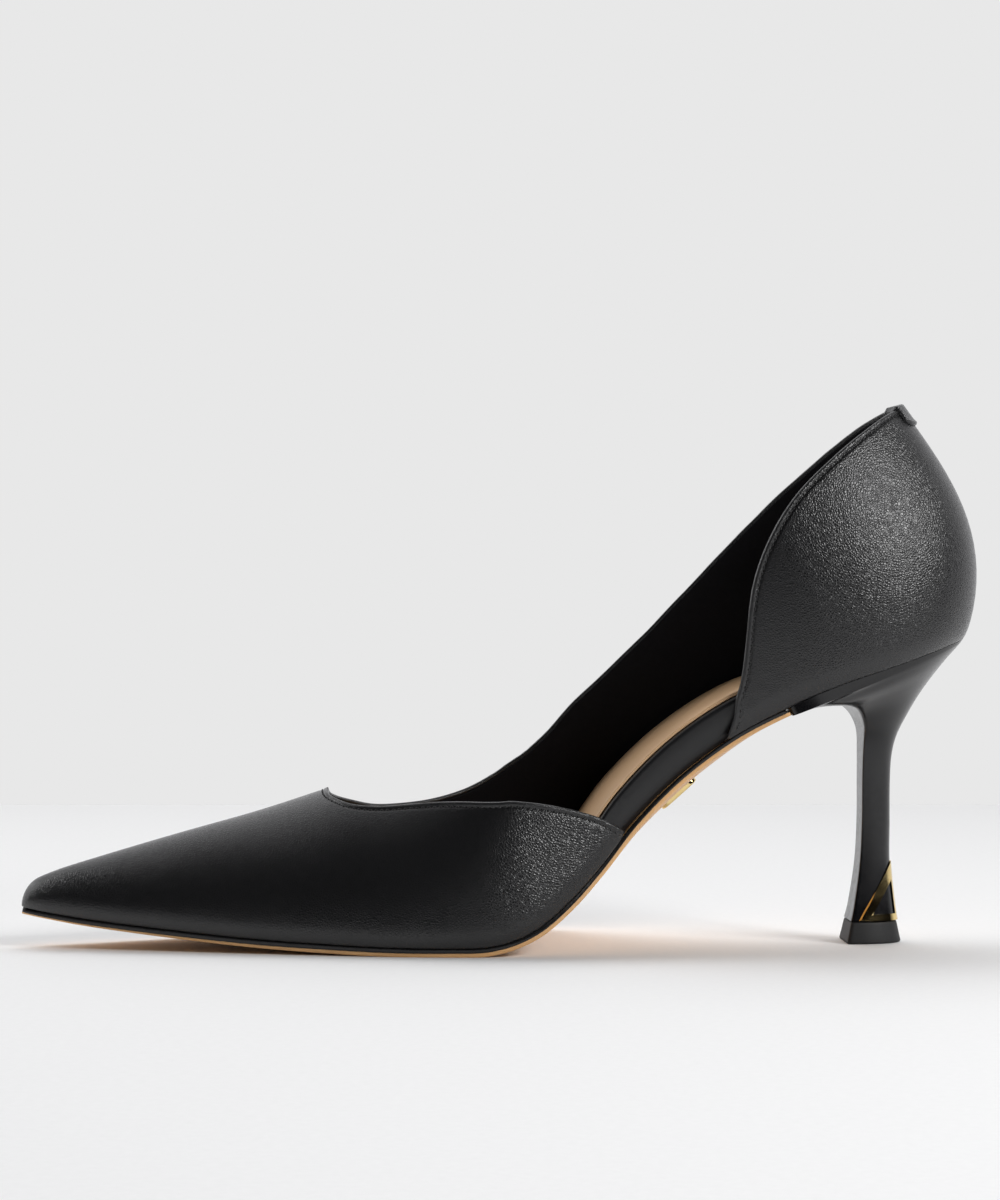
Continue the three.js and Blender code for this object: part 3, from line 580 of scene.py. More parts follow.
def wallGrid(setback):
    # columns of points round the wall, from the inner wing over the toe, the outer side and the heel
    vamp, outer = edgeLine(vampEdge, -1, setback), edgeLine(outerEdge, 1, setback)
    quarter = edgeLine(quarterEdge, -1, setback)
    throat = float(vamp[0][0])
    wingTip, quarterTip = edgeEnd(*vamp), edgeEnd(*quarter)
    per = upperWall["perSection"]
    before, beyond = upperWall["throatSpan"]
    ease = np.linspace(0, 1, upperWall["throatColumns"] + 1) ** 2
    tipward = np.linspace(0, throat - before, int(per * throat))
    tipward = np.concatenate([tipward, throat - before * ease[::-1][1:]])
    after = throat + beyond * ease[1:]
    vampRest = np.linspace(throat + beyond, wingTip, int(per * (wingTip - throat)))[1:]
    outerRest = np.linspace(throat + beyond, lastStation, int(per * (lastStation - throat)))[1:]
    quarterRest = np.linspace(lastStation, quarterTip, int(per * (lastStation - quarterTip)))[1:]
    inner = np.concatenate([tipward, after, vampRest])[::-1]
    outward = np.concatenate([tipward, after, outerRest])[1:]
    station = np.concatenate([inner, outward, quarterRest])
    side = np.concatenate([-np.ones(len(inner)), np.ones(len(outward)), -np.ones(len(quarterRest))])
    lines = [(inner, vamp), (outward, outer), (quarterRest, quarter)]
    edge = np.concatenate([np.interp(stations, *line) for stations, line in lines])
    edge[0] = edge[-1] = 0
    edge[station <= throat] = 1
    edge = np.clip(edge, 0, 1)
    free = station > throat
    edgePoints = skin(station, edge, side)
    tangent = unit(np.gradient(edgePoints, axis=0))
    rows = len(upperWall["edgeRows"]) + len(upperWall["footRows"]) + upperWall["middleRows"]
    rowsUp = np.zeros((len(station), rows))
    for c in range(len(station)):
        fine = edge[c] * np.sin(np.linspace(0, math.pi / 2, arcSteps))
        curve = skin(station[c], fine, side[c])
        arc = lengthAlong(curve)
        total = arc[-1]
        least = upperWall["leastSlant"]
        across = 1 - (1 - least) * np.clip(1 - (throat - station[c]), 0, 1) ** 2
        if free[c] and total > 0.1:
            across = np.linalg.norm(np.cross(unit(curve[-1] - curve[-6]), tangent[c]))
        edgeRows = np.array(upperWall["edgeRows"]) / max(across, least)
        edgeRows *= min(1, upperWall["edgeShare"] * total / edgeRows[-1])
        footRows = np.array(upperWall["footRows"])
        footRows = footRows * min(1, upperWall["footShare"] * total / footRows[-1])
        middle = np.linspace(footRows[-1], total - edgeRows[-1], upperWall["middleRows"] + 2)[1:-1]
        rowsUp[c] = np.interp(np.concatenate([footRows, middle, total - edgeRows[::-1]]), arc, fine)
    points = skin(station[:, None], rowsUp, side[:, None])
    edgeTree = KDTree(3 * edgeSteps)
    for k, (line, lineSide) in enumerate([(vamp, -1), (outer, 1), (quarter, -1)]):
        for i, point in enumerate(skin(line[0], line[1], lineSide)):
            edgeTree.insert(point, k * edgeSteps + i)
    edgeTree.balance()
    grid = {"station": station, "side": side, "up": rowsUp}
    return dict(grid, points=points, free=free, edgeTree=edgeTree)


def vertexNormals(points, faces):
    normals = np.zeros_like(points)
    for face in faces:
        corner = points[face]
        normal = np.cross(corner[1] - corner[0], corner[2] - corner[0])
        if len(face) == 4:
            normal = normal + np.cross(corner[2] - corner[0], corner[3] - corner[0])
        normals[face] += normal
    return unit(normals)


def wallShell(name, grid, outside, inside, relief, material, slot, replaces=()):
    # a closed wall between two depths under the skin, with its free edge rounded
    columns, rows = grid["up"].shape
    points, index = weldPoints(grid["points"].reshape(-1, 3), 4)
    quads = []
    for c in range(columns - 1):
        for r in range(rows - 1):
            quads.append([c * rows + r, c * rows + r + 1, (c + 1) * rows + r + 1, (c + 1) * rows + r])
    outerFaces = cleanFaces([[index[v] for v in quad] for quad in quads])
    station, up, side = (np.zeros(len(points)) for _ in range(3))
    station[index] = np.repeat(grid["station"], rows)
    side[index] = np.repeat(grid["side"], rows)
    up[index] = grid["up"].reshape(-1)
    normals = outwardFrom(station, up, side)
    if (vertexNormals(points, outerFaces) * normals).sum() < 0:
        outerFaces = [face[::-1] for face in outerFaces]
    onEdge = np.zeros((columns, rows), bool)
    onEdge[grid["free"], -1] = True
    edge = np.zeros(len(points), bool)
    edge[index[onEdge.reshape(-1)]] = True
    near = np.array([grid["edgeTree"].find(point)[2] for point in points])
    near[edge] = 0
    radius = (inside - outside) / 2
    rounded = radius - np.sqrt(radius ** 2 - (radius - np.minimum(near, radius)) ** 2)
    inward = levelled(normals, station, up)
    outer = points - normals * (outside + rounded - relief(near))[:, None]
    inner = points - inward * (inside - rounded)[:, None]
    twin = np.arange(len(points)) + len(points)
    twin[edge] = np.arange(len(points))[edge]
    innerFaces = [[twin[v] for v in face[::-1]] for face in outerFaces]
    foot = [index[c * rows] for c in range(columns)]
    rim = [[a, b, twin[b], twin[a]] for a, b in zip(foot, foot[1:])]
    faces = cleanFaces(outerFaces + innerFaces + rim)
    return makePiece(name, np.concatenate([outer, inner]), faces, material, slot, replaces)


def foldRelief(near):
    # the folded edge stands up as a bead, and the stitches pull a groove beside it
    full, fallFrom, fallTo = upperWall["beadEnds"]
    rise, fall = np.clip(near / full, 0, 1), np.clip((near - fallFrom) / (fallTo - fallFrom), 0, 1)
    groove = np.exp(-((near - upperWall["grooveAt"]) / upperWall["grooveWidth"]) ** 2)
    return upperWall["bead"] * eased(rise) * (1 - eased(fall)) - upperWall["grooveDepth"] * groove


outerGrid, liningGrid = wallGrid(0), wallGrid(upperWall["liningSetback"])
wallShell("upper_leather", outerGrid, 0, upperWall["leather"], foldRelief, calf, "leather", ["upper"])
print("upper leather laid")
lining = [upperWall["liningFrom"], last["wall"], lambda near: 0 * near, liningSkin]
wallShell("lining", liningGrid, *lining, "leather")
print("lining laid")


def placedStitches(name, path, normals, settings, material, slot):
    # short rounded stitches laid along a path at an even pitch
    arc = lengthAlong(path)
    count = max(1, int(arc[-1] / settings["pitch"]))
    points, faces = [], []
    ringSize, reach, dive = 6, 0.3, 0.6   # reach: mm to each side that give the way. dive: of a stitch's ends
    profile = [(-0.5, 0.35), (-0.32, 0.9), (0, 1.0), (0.32, 0.9), (0.5, 0.35)]

    def valueAt(rows, place):
        return np.array([np.interp(place, arc, rows[:, j]) for j in range(3)])

    for k in range(count):
        middle = (k + settings["phase"]) * arc[-1] / count
        ends = [valueAt(path, middle + s) for s in (-reach, reach)]
        centre = (ends[0] + ends[1]) / 2
        along = unit(ends[1] - ends[0])
        normal = unit(valueAt(normals, middle))
        across = unit(np.cross(normal, along))
        first = len(points)
        for place, width in profile:
            for j in range(ringSize):
                turn = 2 * math.pi * j / ringSize
                out = across * math.cos(turn) + normal * math.sin(turn)
                sink = settings["sunk"] + dive * settings["thick"] * (2 * place) ** 2
                point = centre + along * place * settings["length"] - normal * sink
                points.append(point + out * width * settings["thick"] / 2)
        faces += [[first + v for v in face] for face in loftFaces(len(profile), ringSize)]
        faces += [[first + j for j in range(ringSize)][::-1]]
        faces += [[first + (len(profile) - 1) * ringSize + j for j in range(ringSize)]]
    return makePiece(name, np.array(points), faces, material, slot)


def stitchRow(name, table, side):
    station, up = edgeLine(table, side, stitch["setback"])
    kept = up > 0
    station, up = station[kept], up[kept]
    path = skin(station, up, side)
    along, rise = slopes(station, up, side)
    normals = unit(np.cross(rise, along) * side)
    placedStitches(name + "_stitches", path, normals, stitch, thread, "leather")
    # dark discs between the stitches: painted shade of the needle holes
    placedStitches(name + "_needle_hole_shade", path, normals, hole, needleHoleShade, "leather")


for name, table, side in [("vamp", vampEdge, -1), ("outer", outerEdge, 1), ("quarter", quarterEdge, -1)]:
    stitchRow(name, table, side)
print("edges stitched")

# Insole and sock
pad = {
    "from": 0.033,
    "stations": 150,
    "shoulder": 1.7,       # radius of the wrapped top edge
    "sockFrom": 0.045,
    "sock": 1.0,
    "sockInset": 1.4,
    "creaseAt": 1.3,       # pressed line beside the sock's edge
    "creaseDepth": 0.22,
    "creaseWidth": 0.28,
    "padAt": 0.705,        # front of the heel pad under the sock, at the middle of the foot
    "padSlant": 0.028,
    "padCurve": 0.05,
    "padHeight": 0.45,
    "padStep": 0.008,      # length over which the pad rises
    "padFade": 1.5,        # mm over which it fades beside the sock's edge, and where that begins
}
insoleShare, dishShare = smoothLine(insoleTable), smoothLine(insoleTable, 2)


def padLine(station, level, share, depth):
    # a point between the two walls at a height over the feather line
    crown = sectionAt(station)["crown"]
    inner, outer = (insideSkin(station, level / crown, side, depth) for side in (-1, 1))
    return inner + (outer - inner) * ((share + 1) / 2)[..., None]


def halfBetween(station, level, depth):
    ends = padLine(station, level, np.array([-1.0, 1.0]), depth)
    return np.linalg.norm(ends[1] - ends[0]) / 2


def insoleRing(station):
    at = shareAt(station)
    high = last["insole"] * insoleShare(at)
    dish = last["insole"] * dishShare(at)
    depth = last["wall"] + last["gap"]
    half = halfBetween(station, high, depth)
    radius = min(pad["shoulder"], 0.45 * high, 0.45 * half)
    turn = np.linspace(0, math.pi / 2, 6)
    side = np.linspace(0, high - radius, 5)[:-1]
    level = np.concatenate([side, high - radius + radius * np.sin(turn)])
    share = np.concatenate([-np.ones(len(side)), -1 + radius * (1 - np.cos(turn)) / half])
    top = np.linspace(share[-1], -share[-1], 14)[1:-1]
    under = np.linspace(1, -1, 10)[1:-1]
    level = np.concatenate([level, np.full(len(top), high), level[::-1], np.zeros(len(under))])
    share = np.concatenate([share, top, -share[::-1], under])
    ring = padLine(station, level, share, depth)
    ring[:, 2] -= dish * (1 - share ** 2) * (level > 0)
    return ring


def sockRing(station):
    at = shareAt(station)
    bottom = last["insole"] * insoleShare(at) + last["gap"] * 0.2
    dish = last["insole"] * dishShare(at)
    depth = last["wall"] + last["gap"] + pad["sockInset"]
    half = halfBetween(station, bottom, depth)
    inFromEdge = np.array([0, 0, 0.08, 0.3, 0.7, 1.0, 1.15, 1.3, 1.45, 1.6, 1.9, 2.4, 3.2])
    inFromEdge = inFromEdge * min(1, 0.5 * half / inFromEdge[-1])
    border = -1 + inFromEdge / half
    share = np.concatenate([border, np.linspace(border[-1], -border[-1], 15)[1:-1], -border[::-1]])
    lift = np.ones(len(share))
    lift[:3] = lift[:-4:-1] = [0, 0.55, 0.85]   # the rounded edge
    deep = (1 - np.abs(share)) * half
    crease = pad["creaseDepth"] * np.exp(-((deep - pad["creaseAt"]) / pad["creaseWidth"]) ** 2)
    padFront = pad["padAt"] + pad["padSlant"] * share + pad["padCurve"] * share ** 2
    step = np.clip((at - padFront) / pad["padStep"], 0, 1)
    raised = pad["padHeight"] * eased(step) * np.clip(deep / pad["padFade"] - 1, 0, 1)
    top = padLine(station, bottom + 0 * share, share, depth)
    top[:, 2] += lift * pad["sock"] - crease - dish * (1 - share ** 2) + raised
    under = np.linspace(share[-1], share[0], 12)[1:-1]
    low = padLine(station, bottom + 0 * under, under, depth)
    low[:, 2] -= dish * (1 - under ** 2)
    return np.concatenate([top, low])


padStations = np.linspace(float(stationAt(pad["from"])), lastStation, pad["stations"])
loft("insole_wrap", [insoleRing(s) for s in padStations], wrapSkin, "wrap", ["insole_board"])
sockStations = np.linspace(float(stationAt(pad["sockFrom"])), lastStation - 0.02, pad["stations"])
loft("sock_lining", [sockRing(s) for s in sockStations], sockSkin, "sock", ["sock"])
print("insole and sock laid")

# Outsole with its painted edge
sole = {
    "tip": 0.5,
    "stations": 170,
    "shares": 21,
    "corner": 0.55,
    # the band is deeper toward the toe, where its black is partly painted shade over the tan edge and partly
    # the real painted edge
    "paintAt": [0.0, 0.12, 0.3, 0.45, 1.0],
    "paint": [1.5, 1.35, 1.1, 0.95, 0.95],   # height of the painted band under the feather line
    "paintProud": 0.2,
    "breastAt": 0.801,
}
edgeShare, middleShare, insetShare = (smoothLine(outsoleTable, k) for k in (1, 2, 3))


def underFoot(station, share, down, inset):
    # a point under the foot: share across it, down from the feather line, set in from its edge
    here = sectionAt(station)
    before, after = sectionAt(station - nudge), sectionAt(station + nudge)
    slope = unit(np.stack([after["x"] - before["x"], after["z"] - before["z"]], -1))
    half = np.where(share < 0, here["inner"], here["outer"])
    half = half - np.minimum(section["tuck"], half * section["tipTuckShare"])
    half = half - np.minimum(inset, half * section["tipInsetShare"])
    x = here["x"] + slope[..., 1] * down
    z = here["z"] - slope[..., 0] * down
    return np.stack(np.broadcast_arrays(x, here["swing"] + share * half, z), -1)


def soleRing(station):
    at = shareAt(station)
    inset = last["wall"] * insetShare(at)
    gap = last["gap"] * 0.2
    deep = last["gap"] + last["outsole"] * edgeShare(at)
    corner = min(sole["corner"], 0.3 * deep)
    turn = np.linspace(0, math.pi / 2, 6)
    down = np.linspace(gap, deep - corner, 4)[:-1]
    down = np.concatenate([down, deep - corner + corner * np.sin(turn)])
    back = np.concatenate([np.zeros(3), corner * (1 - np.cos(turn))])
    share = np.linspace(-1, 1, sole["shares"])
    crown = (middleShare(at) - edgeShare(at)) * (1 - share ** 2)
    middle = last["gap"] + last["outsole"] * (edgeShare(at) + crown)
    innerFlank = underFoot(station, -1 + 0 * down, down, inset + back)
    bottom = underFoot(station, share, middle, inset + corner)
    outerFlank = underFoot(station, 1 + 0 * down, down, inset + back)[::-1]
    top = underFoot(station, np.linspace(1, -1, 9)[1:-1], gap, inset)
    ring = np.concatenate([innerFlank[:-1], bottom, outerFlank[1:], top])
    ring[:, 2] = np.maximum(ring[:, 2], 0)
    return ring


soleEnd = float(stationAt(sole["breastAt"] - 0.4 * last["gap"] / last["length"]))
soleStations = np.linspace(sole["tip"], soleEnd, sole["stations"])
loft("outsole_leather", [soleRing(s) for s in soleStations], soleLeather, "tan_sole", ["outsole"])


def paintRing(station, side):
    at = shareAt(station)
    inset = last["wall"] * insetShare(at)
    high = last["gap"] * 0.1
    # reaching lower toward the toe: there the black band is partly painted shade over the tan edge
    low = last["gap"] + np.interp(at, sole["paintAt"], sole["paint"]) * edgeShare(at)
    turn = np.linspace(-math.pi / 2, math.pi / 2, 9)
    down = (high + low) / 2 + (low - high) / 2 * np.sin(turn)
    proud = sole["paintProud"] * np.cos(turn) ** 0.5
    outward = underFoot(station, side + 0 * down, down, inset - proud)
    inward = underFoot(station, side + 0 * down[::3], down[::-3], inset + 0.5)
    return np.concatenate([outward, inward])


paintStations = np.linspace(sole["tip"] - 0.02, soleEnd, sole["stations"])
outlineRings = [paintRing(s, -1) for s in paintStations[::-1]] + [paintRing(s, 1) for s in paintStations]
loft("sole_edge_paint", outlineRings, edgePaint, "wrap")
print("outsole laid")

# Heel, top piece and trim
heel = {
    "breastAt": 0.801,
    "seatHalfWidth": 25.5,
    "topPiece": 5.6,
    "flare": 1.1,
    "stepsPerRow": 7,
    "corner": 0.08,        # rounding of the breast's corners, as a share of the half width
    "trimReach": 11,
    "trimHeight": 15,
    "trimBand": 2.4,
    "trimBase": 1.7,
    "trimRim": 0.35,
    "trimProud": 0.4,
    "trimSlope": 0.6,     # width of the sloped edges
    "trimDepth": 0.9,
}
heelColumns = ["backLevel", "frontLevel", "back", "front", "half", "straight"]
heelTable = [
    [0.000, 0.000, 0.640, 0.377, 0.275, 0.20],
    [0.058, 0.058, 0.626, 0.397, 0.243, 0.20],
    [0.202, 0.202, 0.604, 0.428, 0.214, 0.18],
    [0.346, 0.346, 0.604, 0.440, 0.204, 0.18],
    [0.503, 0.503, 0.606, 0.442, 0.212, 0.18],
    [0.592, 0.592, 0.616, 0.444, 0.235, 0.18],
    [0.660, 0.654, 0.643, 0.446, 0.282, 0.18],
    [0.728, 0.694, 0.694, 0.440, 0.369, 0.18],
    [0.796, 0.735, 0.753, 0.414, 0.486, 0.18],
    [0.864, 0.761, 0.824, 0.369, 0.627, 0.19],
    [0.931, 0.769, 0.904, 0.285, 0.784, 0.20],
    [0.970, 0.763, 0.957, 0.152, 0.885, 0.22],
    [0.992, 0.736, 0.986, 0.026, 0.935, 0.24],
]
heelFoot = heel["topPiece"] + last["gap"]
heelHeight = last["outsole"] + last["seatRise"] - heelFoot
breastX = heel["breastAt"] * last["length"]
seatDepth = last["length"] - breastX
heelRows = np.array(heelTable)


def heelRow(position):
    rows = np.vstack([heelRows[0], heelRows, heelRows[-1]])
    i = min(int(position), len(heelRows) - 2)
    return dict(zip(heelColumns, through(*rows[i:i + 4], position - i)))


def heelOutline(straight):
    # from the middle of the breast round the inner flank, the back and the outer flank, corners rounded:
    # depth and width as shares, and how far towards the seat's edge
    corner = heel["corner"]
    turn = np.linspace(0, math.pi / 2, 6)
    front = [(0.0, share, share) for share in np.linspace(0, 1 - corner, 5)[:-1]]
    wide = 1 - corner + corner * np.sin(turn)
    bend = [(corner * (1 - math.cos(t)), w, w) for t, w in zip(turn, wide)]
    flank = [(place, 1.0, 1.0) for place in np.linspace(corner, max(straight, corner + 0.02), 4)[1:]]
    start = flank[-1][0]
    turn = np.linspace(0, math.pi / 2, 16)[1:-1]
    back = [(start + (1 - start) * math.sin(t), math.cos(t), 1.0) for t in turn]
    half = front + bend + flank + back
    mirrored = [(d, -w, -s) for d, w, s in half]
    return np.array(mirrored + [(1.0, 0.0, 0.0)] + half[:0:-1])


def heelRing(row, margin):
    outline = heelOutline(row["straight"])
    front = breastX + row["front"] * seatDepth - margin
    back = breastX + row["back"] * seatDepth + margin
    half = row["half"] * heel["seatHalfWidth"] + margin
    low, high = (heelFoot + row[name] * heelHeight for name in ("frontLevel", "backLevel"))
    x = front + outline[:, 0] * (back - front)
    return np.stack([x, outline[:, 1] * half, low + outline[:, 0] * (high - low)], 1)


def seatRing():
    outline = heelOutline(heelRows[-1][5])
    back = last["length"] - last["gap"] / 2
    x = breastX + outline[:, 0] * (back - breastX)
    under = underFoot(stationAt(x / last["length"]), np.sign(outline[:, 2]), last["gap"] * 0.3, 0 * x)
    middle = sectionAt(stationAt(x / last["length"]))["swing"]
    y = middle + (under[:, 1] - middle) * np.abs(outline[:, 2])
    return np.stack([x, y, under[:, 2]], 1)


def ringSolid(name, rings, material, slot, replaces=()):
    points, faces = closedRings(rings)
    piece = makePiece(name, points, faces, material, slot, replaces)
    piece.data.set_sharp_from_angle(angle=math.radians(50))   # keeps the ends and corners crisp


topRow = len(heelRows) - 1
heelRings = [heelRing(heelRow(p), 0) for p in np.linspace(0, topRow, topRow * heel["stepsPerRow"] + 1)]
seat = seatRing()
upperRing = heelRings[-1]
heelRings += [upperRing + (seat - upperRing) * share for share in (0.5, 1.0)]
ringSolid("heel_block", heelRings, lacquer, "lacquer", ["heel"])

foot = heelRow(0)
tread = dict(foot, half=foot["half"] + heel["flare"] / heel["seatHalfWidth"],
             front=foot["front"] - heel["flare"] / seatDepth, back=foot["back"] + heel["flare"] / seatDepth)
treadRing, footRing = heelRing(tread, 0), heelRing(foot, 0)
centre = footRing.mean(0)
# level and growth in mm, and the share of the way from the tread's outline to the heel's foot
pieceProfile = [
    (0, -0.45, 0), (0.12, -0.18, 0), (0.35, -0.03, 0.02), (0.6, 0, 0.06),
    (2.5, 0, 0.45), (5.0, 0, 0.93), (5.45, -0.05, 1), (5.6, -0.2, 1),
]
pieceRings = []
for level, grow, share in pieceProfile:
    ring = treadRing + (footRing - treadRing) * share
    ring = ring + unit((ring - centre) * [1, 1, 0]) * grow
    ring[:, 2] = level
    pieceRings.append(ring)
ringSolid("top_piece_rubber", pieceRings, rubber, "rubber", ["top_piece"])
print("heel built")


def heelBackAt(height):
    row = int(np.searchsorted(heelRows[:, 0] * heelHeight, height, side="right"))
    low, high = heelRows[row - 1], heelRows[row]
    t = (height / heelHeight - low[0]) / (high[0] - low[0])
    return breastX + seatDepth * (low[2] + (high[2] - low[2]) * t)


def trimOutline():
    # side view of the gold frame: a foot band, a slanting band and a narrow rim down the back
    toe = np.array([heelBackAt(0) - heel["trimReach"], heelFoot])
    apex = np.array([heelBackAt(heel["trimHeight"]), heelFoot + heel["trimHeight"]])
    slant = unit(apex - toe)

    def slantX(level, across):
        return toe[0] + across / slant[1] + (level - toe[1]) * slant[0] / slant[1]

    def rimX(level):
        return heelBackAt(level - heelFoot) - heel["trimRim"]

    top, beyond = apex[1] + heel["trimRim"], heelBackAt(0) + heel["trimBand"]
    footLevel = heelFoot + 0.02   # just clear of the joint with the top piece
    outer = [(slantX(footLevel, 0), footLevel), (beyond, footLevel), (beyond, top), (slantX(top, 0), top)]
    sill = heelFoot + heel["trimBase"]
    peak = sill
    while slantX(peak, heel["trimBand"]) < rimX(peak):   # up to where the band and the rim meet
        peak += 0.035
    return outer, [(slantX(sill, heel["trimBand"]), sill), (rimX(peak), peak), (rimX(sill), sill)]


def plainSolid(name, rings):
    points, faces = closedRings(rings)
    return newObject(name, points + shift, faces)


def inset(outline, distance):
    # an outline moved inwards, its corners on the bisectors
    points = np.array(outline)
    after = np.roll(points, -1, 0)
    ahead = unit(after - points)
    turn = np.sign((points[:, 0] * after[:, 1] - points[:, 1] * after[:, 0]).sum())
    normal = np.stack([-ahead[:, 1], ahead[:, 0]], 1) * turn
    before = np.roll(normal, 1, 0)
    return points + (normal + before) / (1 + (normal * before).sum(1))[:, None] * distance


def densified(outline, count=8):
    points = np.array(outline)
    return np.concatenate([a + (b - a) * np.linspace(0, 1, count, endpoint=False)[:, None]
                           for a, b in zip(points, np.roll(points, -1, 0))])


def prism(name, outline, slope):
    # a block through the heel whose outline shrinks, or grows, as it comes out of the heel's flanks
    rings = []
    for side in (-1, 1):
        steps = [(4.0, 1.0), (heel["trimProud"] + 0.05, 1.0), (-0.1, 0.0)]
        for out, share in steps if side < 0 else steps[::-1]:
            ring = densified(inset(outline, slope * share))
            level = np.clip((densified(outline)[:, 1] - heelFoot) / heelHeight, 0, 1)
            flank = np.interp(level, heelRows[:, 0], heelRows[:, 4]) * heel["seatHalfWidth"]
            rings.append(np.stack([ring[:, 0], side * (flank + out), ring[:, 1]], 1))
    return plainSolid(name, rings)


def heelCore(name, margin):
    # the heel's own shape over its lowest rows, fuller or slimmer by a margin
    rows = np.linspace(0, 3, 3 * heel["stepsPerRow"] + 1)
    return plainSolid(name, [heelRing(heelRow(p), margin) for p in rows])


def cut(target, tool, operation):
    change = target.modifiers.new("cut", "BOOLEAN")
    change.operation = operation
    change.solver = "EXACT"
    change.object = tool
    depsgraph = bpy.context.evaluated_depsgraph_get()
    mesh = bpy.data.meshes.new_from_object(target.evaluated_get(depsgraph))
    target.modifiers.clear()
    target.data = mesh
    bpy.data.objects.remove(tool)


outerTrim, innerTrim = trimOutline()
trim = heelCore("gold_trim", heel["trimProud"])
cut(trim, prism("frame_outline", outerTrim, heel["trimSlope"]), "INTERSECT")
cut(trim, prism("frame_window", innerTrim, -heel["trimSlope"]), "DIFFERENCE")
cut(trim, heelCore("frame_core", -heel["trimDepth"]), "DIFFERENCE")
dress(trim, gold)
trim.data.set_sharp_from_angle(angle=math.radians(24))
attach(trim, "root")
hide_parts("heel_trim")
print("gold trim cut")

# Plate under the waist
plate = {"at": 0.681, "length": 11.7, "width": 4.6, "thick": 1.0, "sunk": 0.25, "span": 0.2}
plateProfile = [(0, 0), (0.7, 0), (0.85, 0.05), (0.95, 0.16), (1.0, 0.34), (1.03, 0.8)]   # rounded lower edge


def plateRings():
    station = float(stationAt(plate["at"]))
    down = 2 * last["gap"] + last["outsole"] * middleShare(plate["at"])
    place = underFoot(station, np.zeros(1), down - plate["sunk"], np.zeros(1))[0]
    ends = [sectionAt(station + s) for s in (-plate["span"], plate["span"])]
    slope = math.atan2(ends[1]["z"] - ends[0]["z"], ends[1]["x"] - ends[0]["x"])
    radius = plate["width"] / 2
    reach = plate["length"] / 2 - radius
    turns = np.linspace(-math.pi / 2, math.pi / 2, 17)
    outline = [(reach + radius * math.cos(t), radius * math.sin(t)) for t in turns]
    outline += [(-x, -y) for x, y in outline]
    rings = []
    for level, inward in plateProfile:
        ring = []
        for x, y in outline:
            middle = math.copysign(min(abs(x), reach), x)
            side = math.hypot(x - middle, y)
            shrink = (side - inward) / side
            x = middle + (x - middle) * shrink
            z = -level * (plate["thick"] + plate["sunk"])
            ring.append([place[0] + x * math.cos(slope) - z * math.sin(slope), place[1] + y * shrink,
                         place[2] + x * math.sin(slope) + z * math.cos(slope)])
        rings.append(np.array(ring))
    return rings


ringSolid("sole_bar", plateRings(), gold, "gold", ["sole_plate"])

# Tab folded over the back of the collar
tab = {
    "drop": 5.8,
    "lining": 4.0,
    "thick": 0.9,
    "inside": 0.4,
    "spread": 1.0,
    "half": 8.3,           # half width of the tab, for the rounding of its rim
    "columns": 57,
    "rim": 0.45,
    "ramp": 2.4,           # over which the fold rises from the tab's sides
    "welt": 0.22,          # raised border inside the rim
    "weltWidth": 1.1,
    "rampFrom": 0.3,
    "fold": [0.45, 0.62],  # where along the tab the fold begins and ends
    "foldRise": 0.15,
    "squareness": 3.2,     # 2 would round the flaps like an ellipse
    "leastFlap": 0.3,      # length of the flaps at the tab's sides, as a share
    "weltAt": 0.7,
    "weltFade": 0.4,
    "skim": [0.05, 0.04],  # least height of the tab's face and of its back over the leather
}


def tabReach(across):
    # lengths of the outer and inner flaps, shorter towards the tab's sides
    full = (1 - abs(across) ** tab["squareness"]) ** (1 / tab["squareness"])
    share = tab["leastFlap"] + (1 - tab["leastFlap"]) * full
    return tab["drop"] * share, tab["lining"] * share


def tabPoint(across, along, over):
    # across the back of the collar from -1 to 1, and along from the outer end over the fold to the inner end
    side = -1 if across < 0 else 1
    station = lastStation - abs(across) * tab["spread"]
    edge = float((smoothLine(quarterEdge) if side < 0 else throatLine(outerEdge))(shareAt(station)))
    crown = float(sectionAt(station)["crown"])
    drop, inner = tabReach(across)
    start, end = tab["fold"]
    if along < start:
        return insideSkin(station, edge - (start - along) / start * drop / crown, side, -over)
    if along > end:
        down = (along - end) / (1 - end) * inner
        return insideSkin(station, edge - down / crown, side, last["wall"] + over)
    upward = unit(skin(station, edge, side) - skin(station, edge - nudge, side))
    turn = (along - start) / (end - start) * math.pi
    depth = last["wall"] / 2 - (last["wall"] / 2 + over) * math.cos(turn)
    return insideSkin(station, edge, side, depth) + upward * (over + tab["foldRise"]) * math.sin(turn)


def tabThickness(across, along):
    # rounded at the rim, with a low welt just inside it
    drop, inner = tabReach(across)
    start, end = tab["fold"]
    fromEnd = min(along / start * drop, (1 - along) / (1 - end) * inner)
    rim = min((1 - abs(across)) * tab["half"], fromEnd)
    towardFold = min(1, max(0, (along - tab["rampFrom"]) / (start - tab["rampFrom"])))
    ramp = tab["rim"] + (tab["ramp"] - tab["rim"]) * towardFold
    rounding = math.sqrt(max(0, 1 - max(0, 1 - rim / ramp) ** 2))
    welt = math.exp(-((rim - tab["weltAt"]) / (tab["weltWidth"] / 2)) ** 2) * tab["welt"]
    body = tab["thick"] - tab["welt"] if along < (start + end) / 2 else tab["inside"]
    return tab["skim"][0] + body * rounding + welt * min(1, rim / tab["weltFade"])


def tabRings():
    ends = 0.5 - 0.5 * np.cos(np.linspace(0, math.pi / 2, 14))
    start, end = tab["fold"]
    alongs = np.concatenate([start * ends / ends[-1], np.linspace(start, end, 10)[1:-1],
                             1 - (1 - end) * (ends / ends[-1])[::-1]])
    rings = []
    for turn in np.linspace(-math.pi / 2, math.pi / 2, tab["columns"]):
        across = math.sin(turn)
        outside = [tabPoint(across, along, tabThickness(across, along)) for along in alongs]
        inside = [tabPoint(across, along, tab["skim"][1]) for along in alongs[::-1]]
        rings.append(np.array(outside + inside))
    return rings


loft("heel_tab_leather", tabRings(), calf, "leather", ["heel_tab"])
print("plate and tab laid")

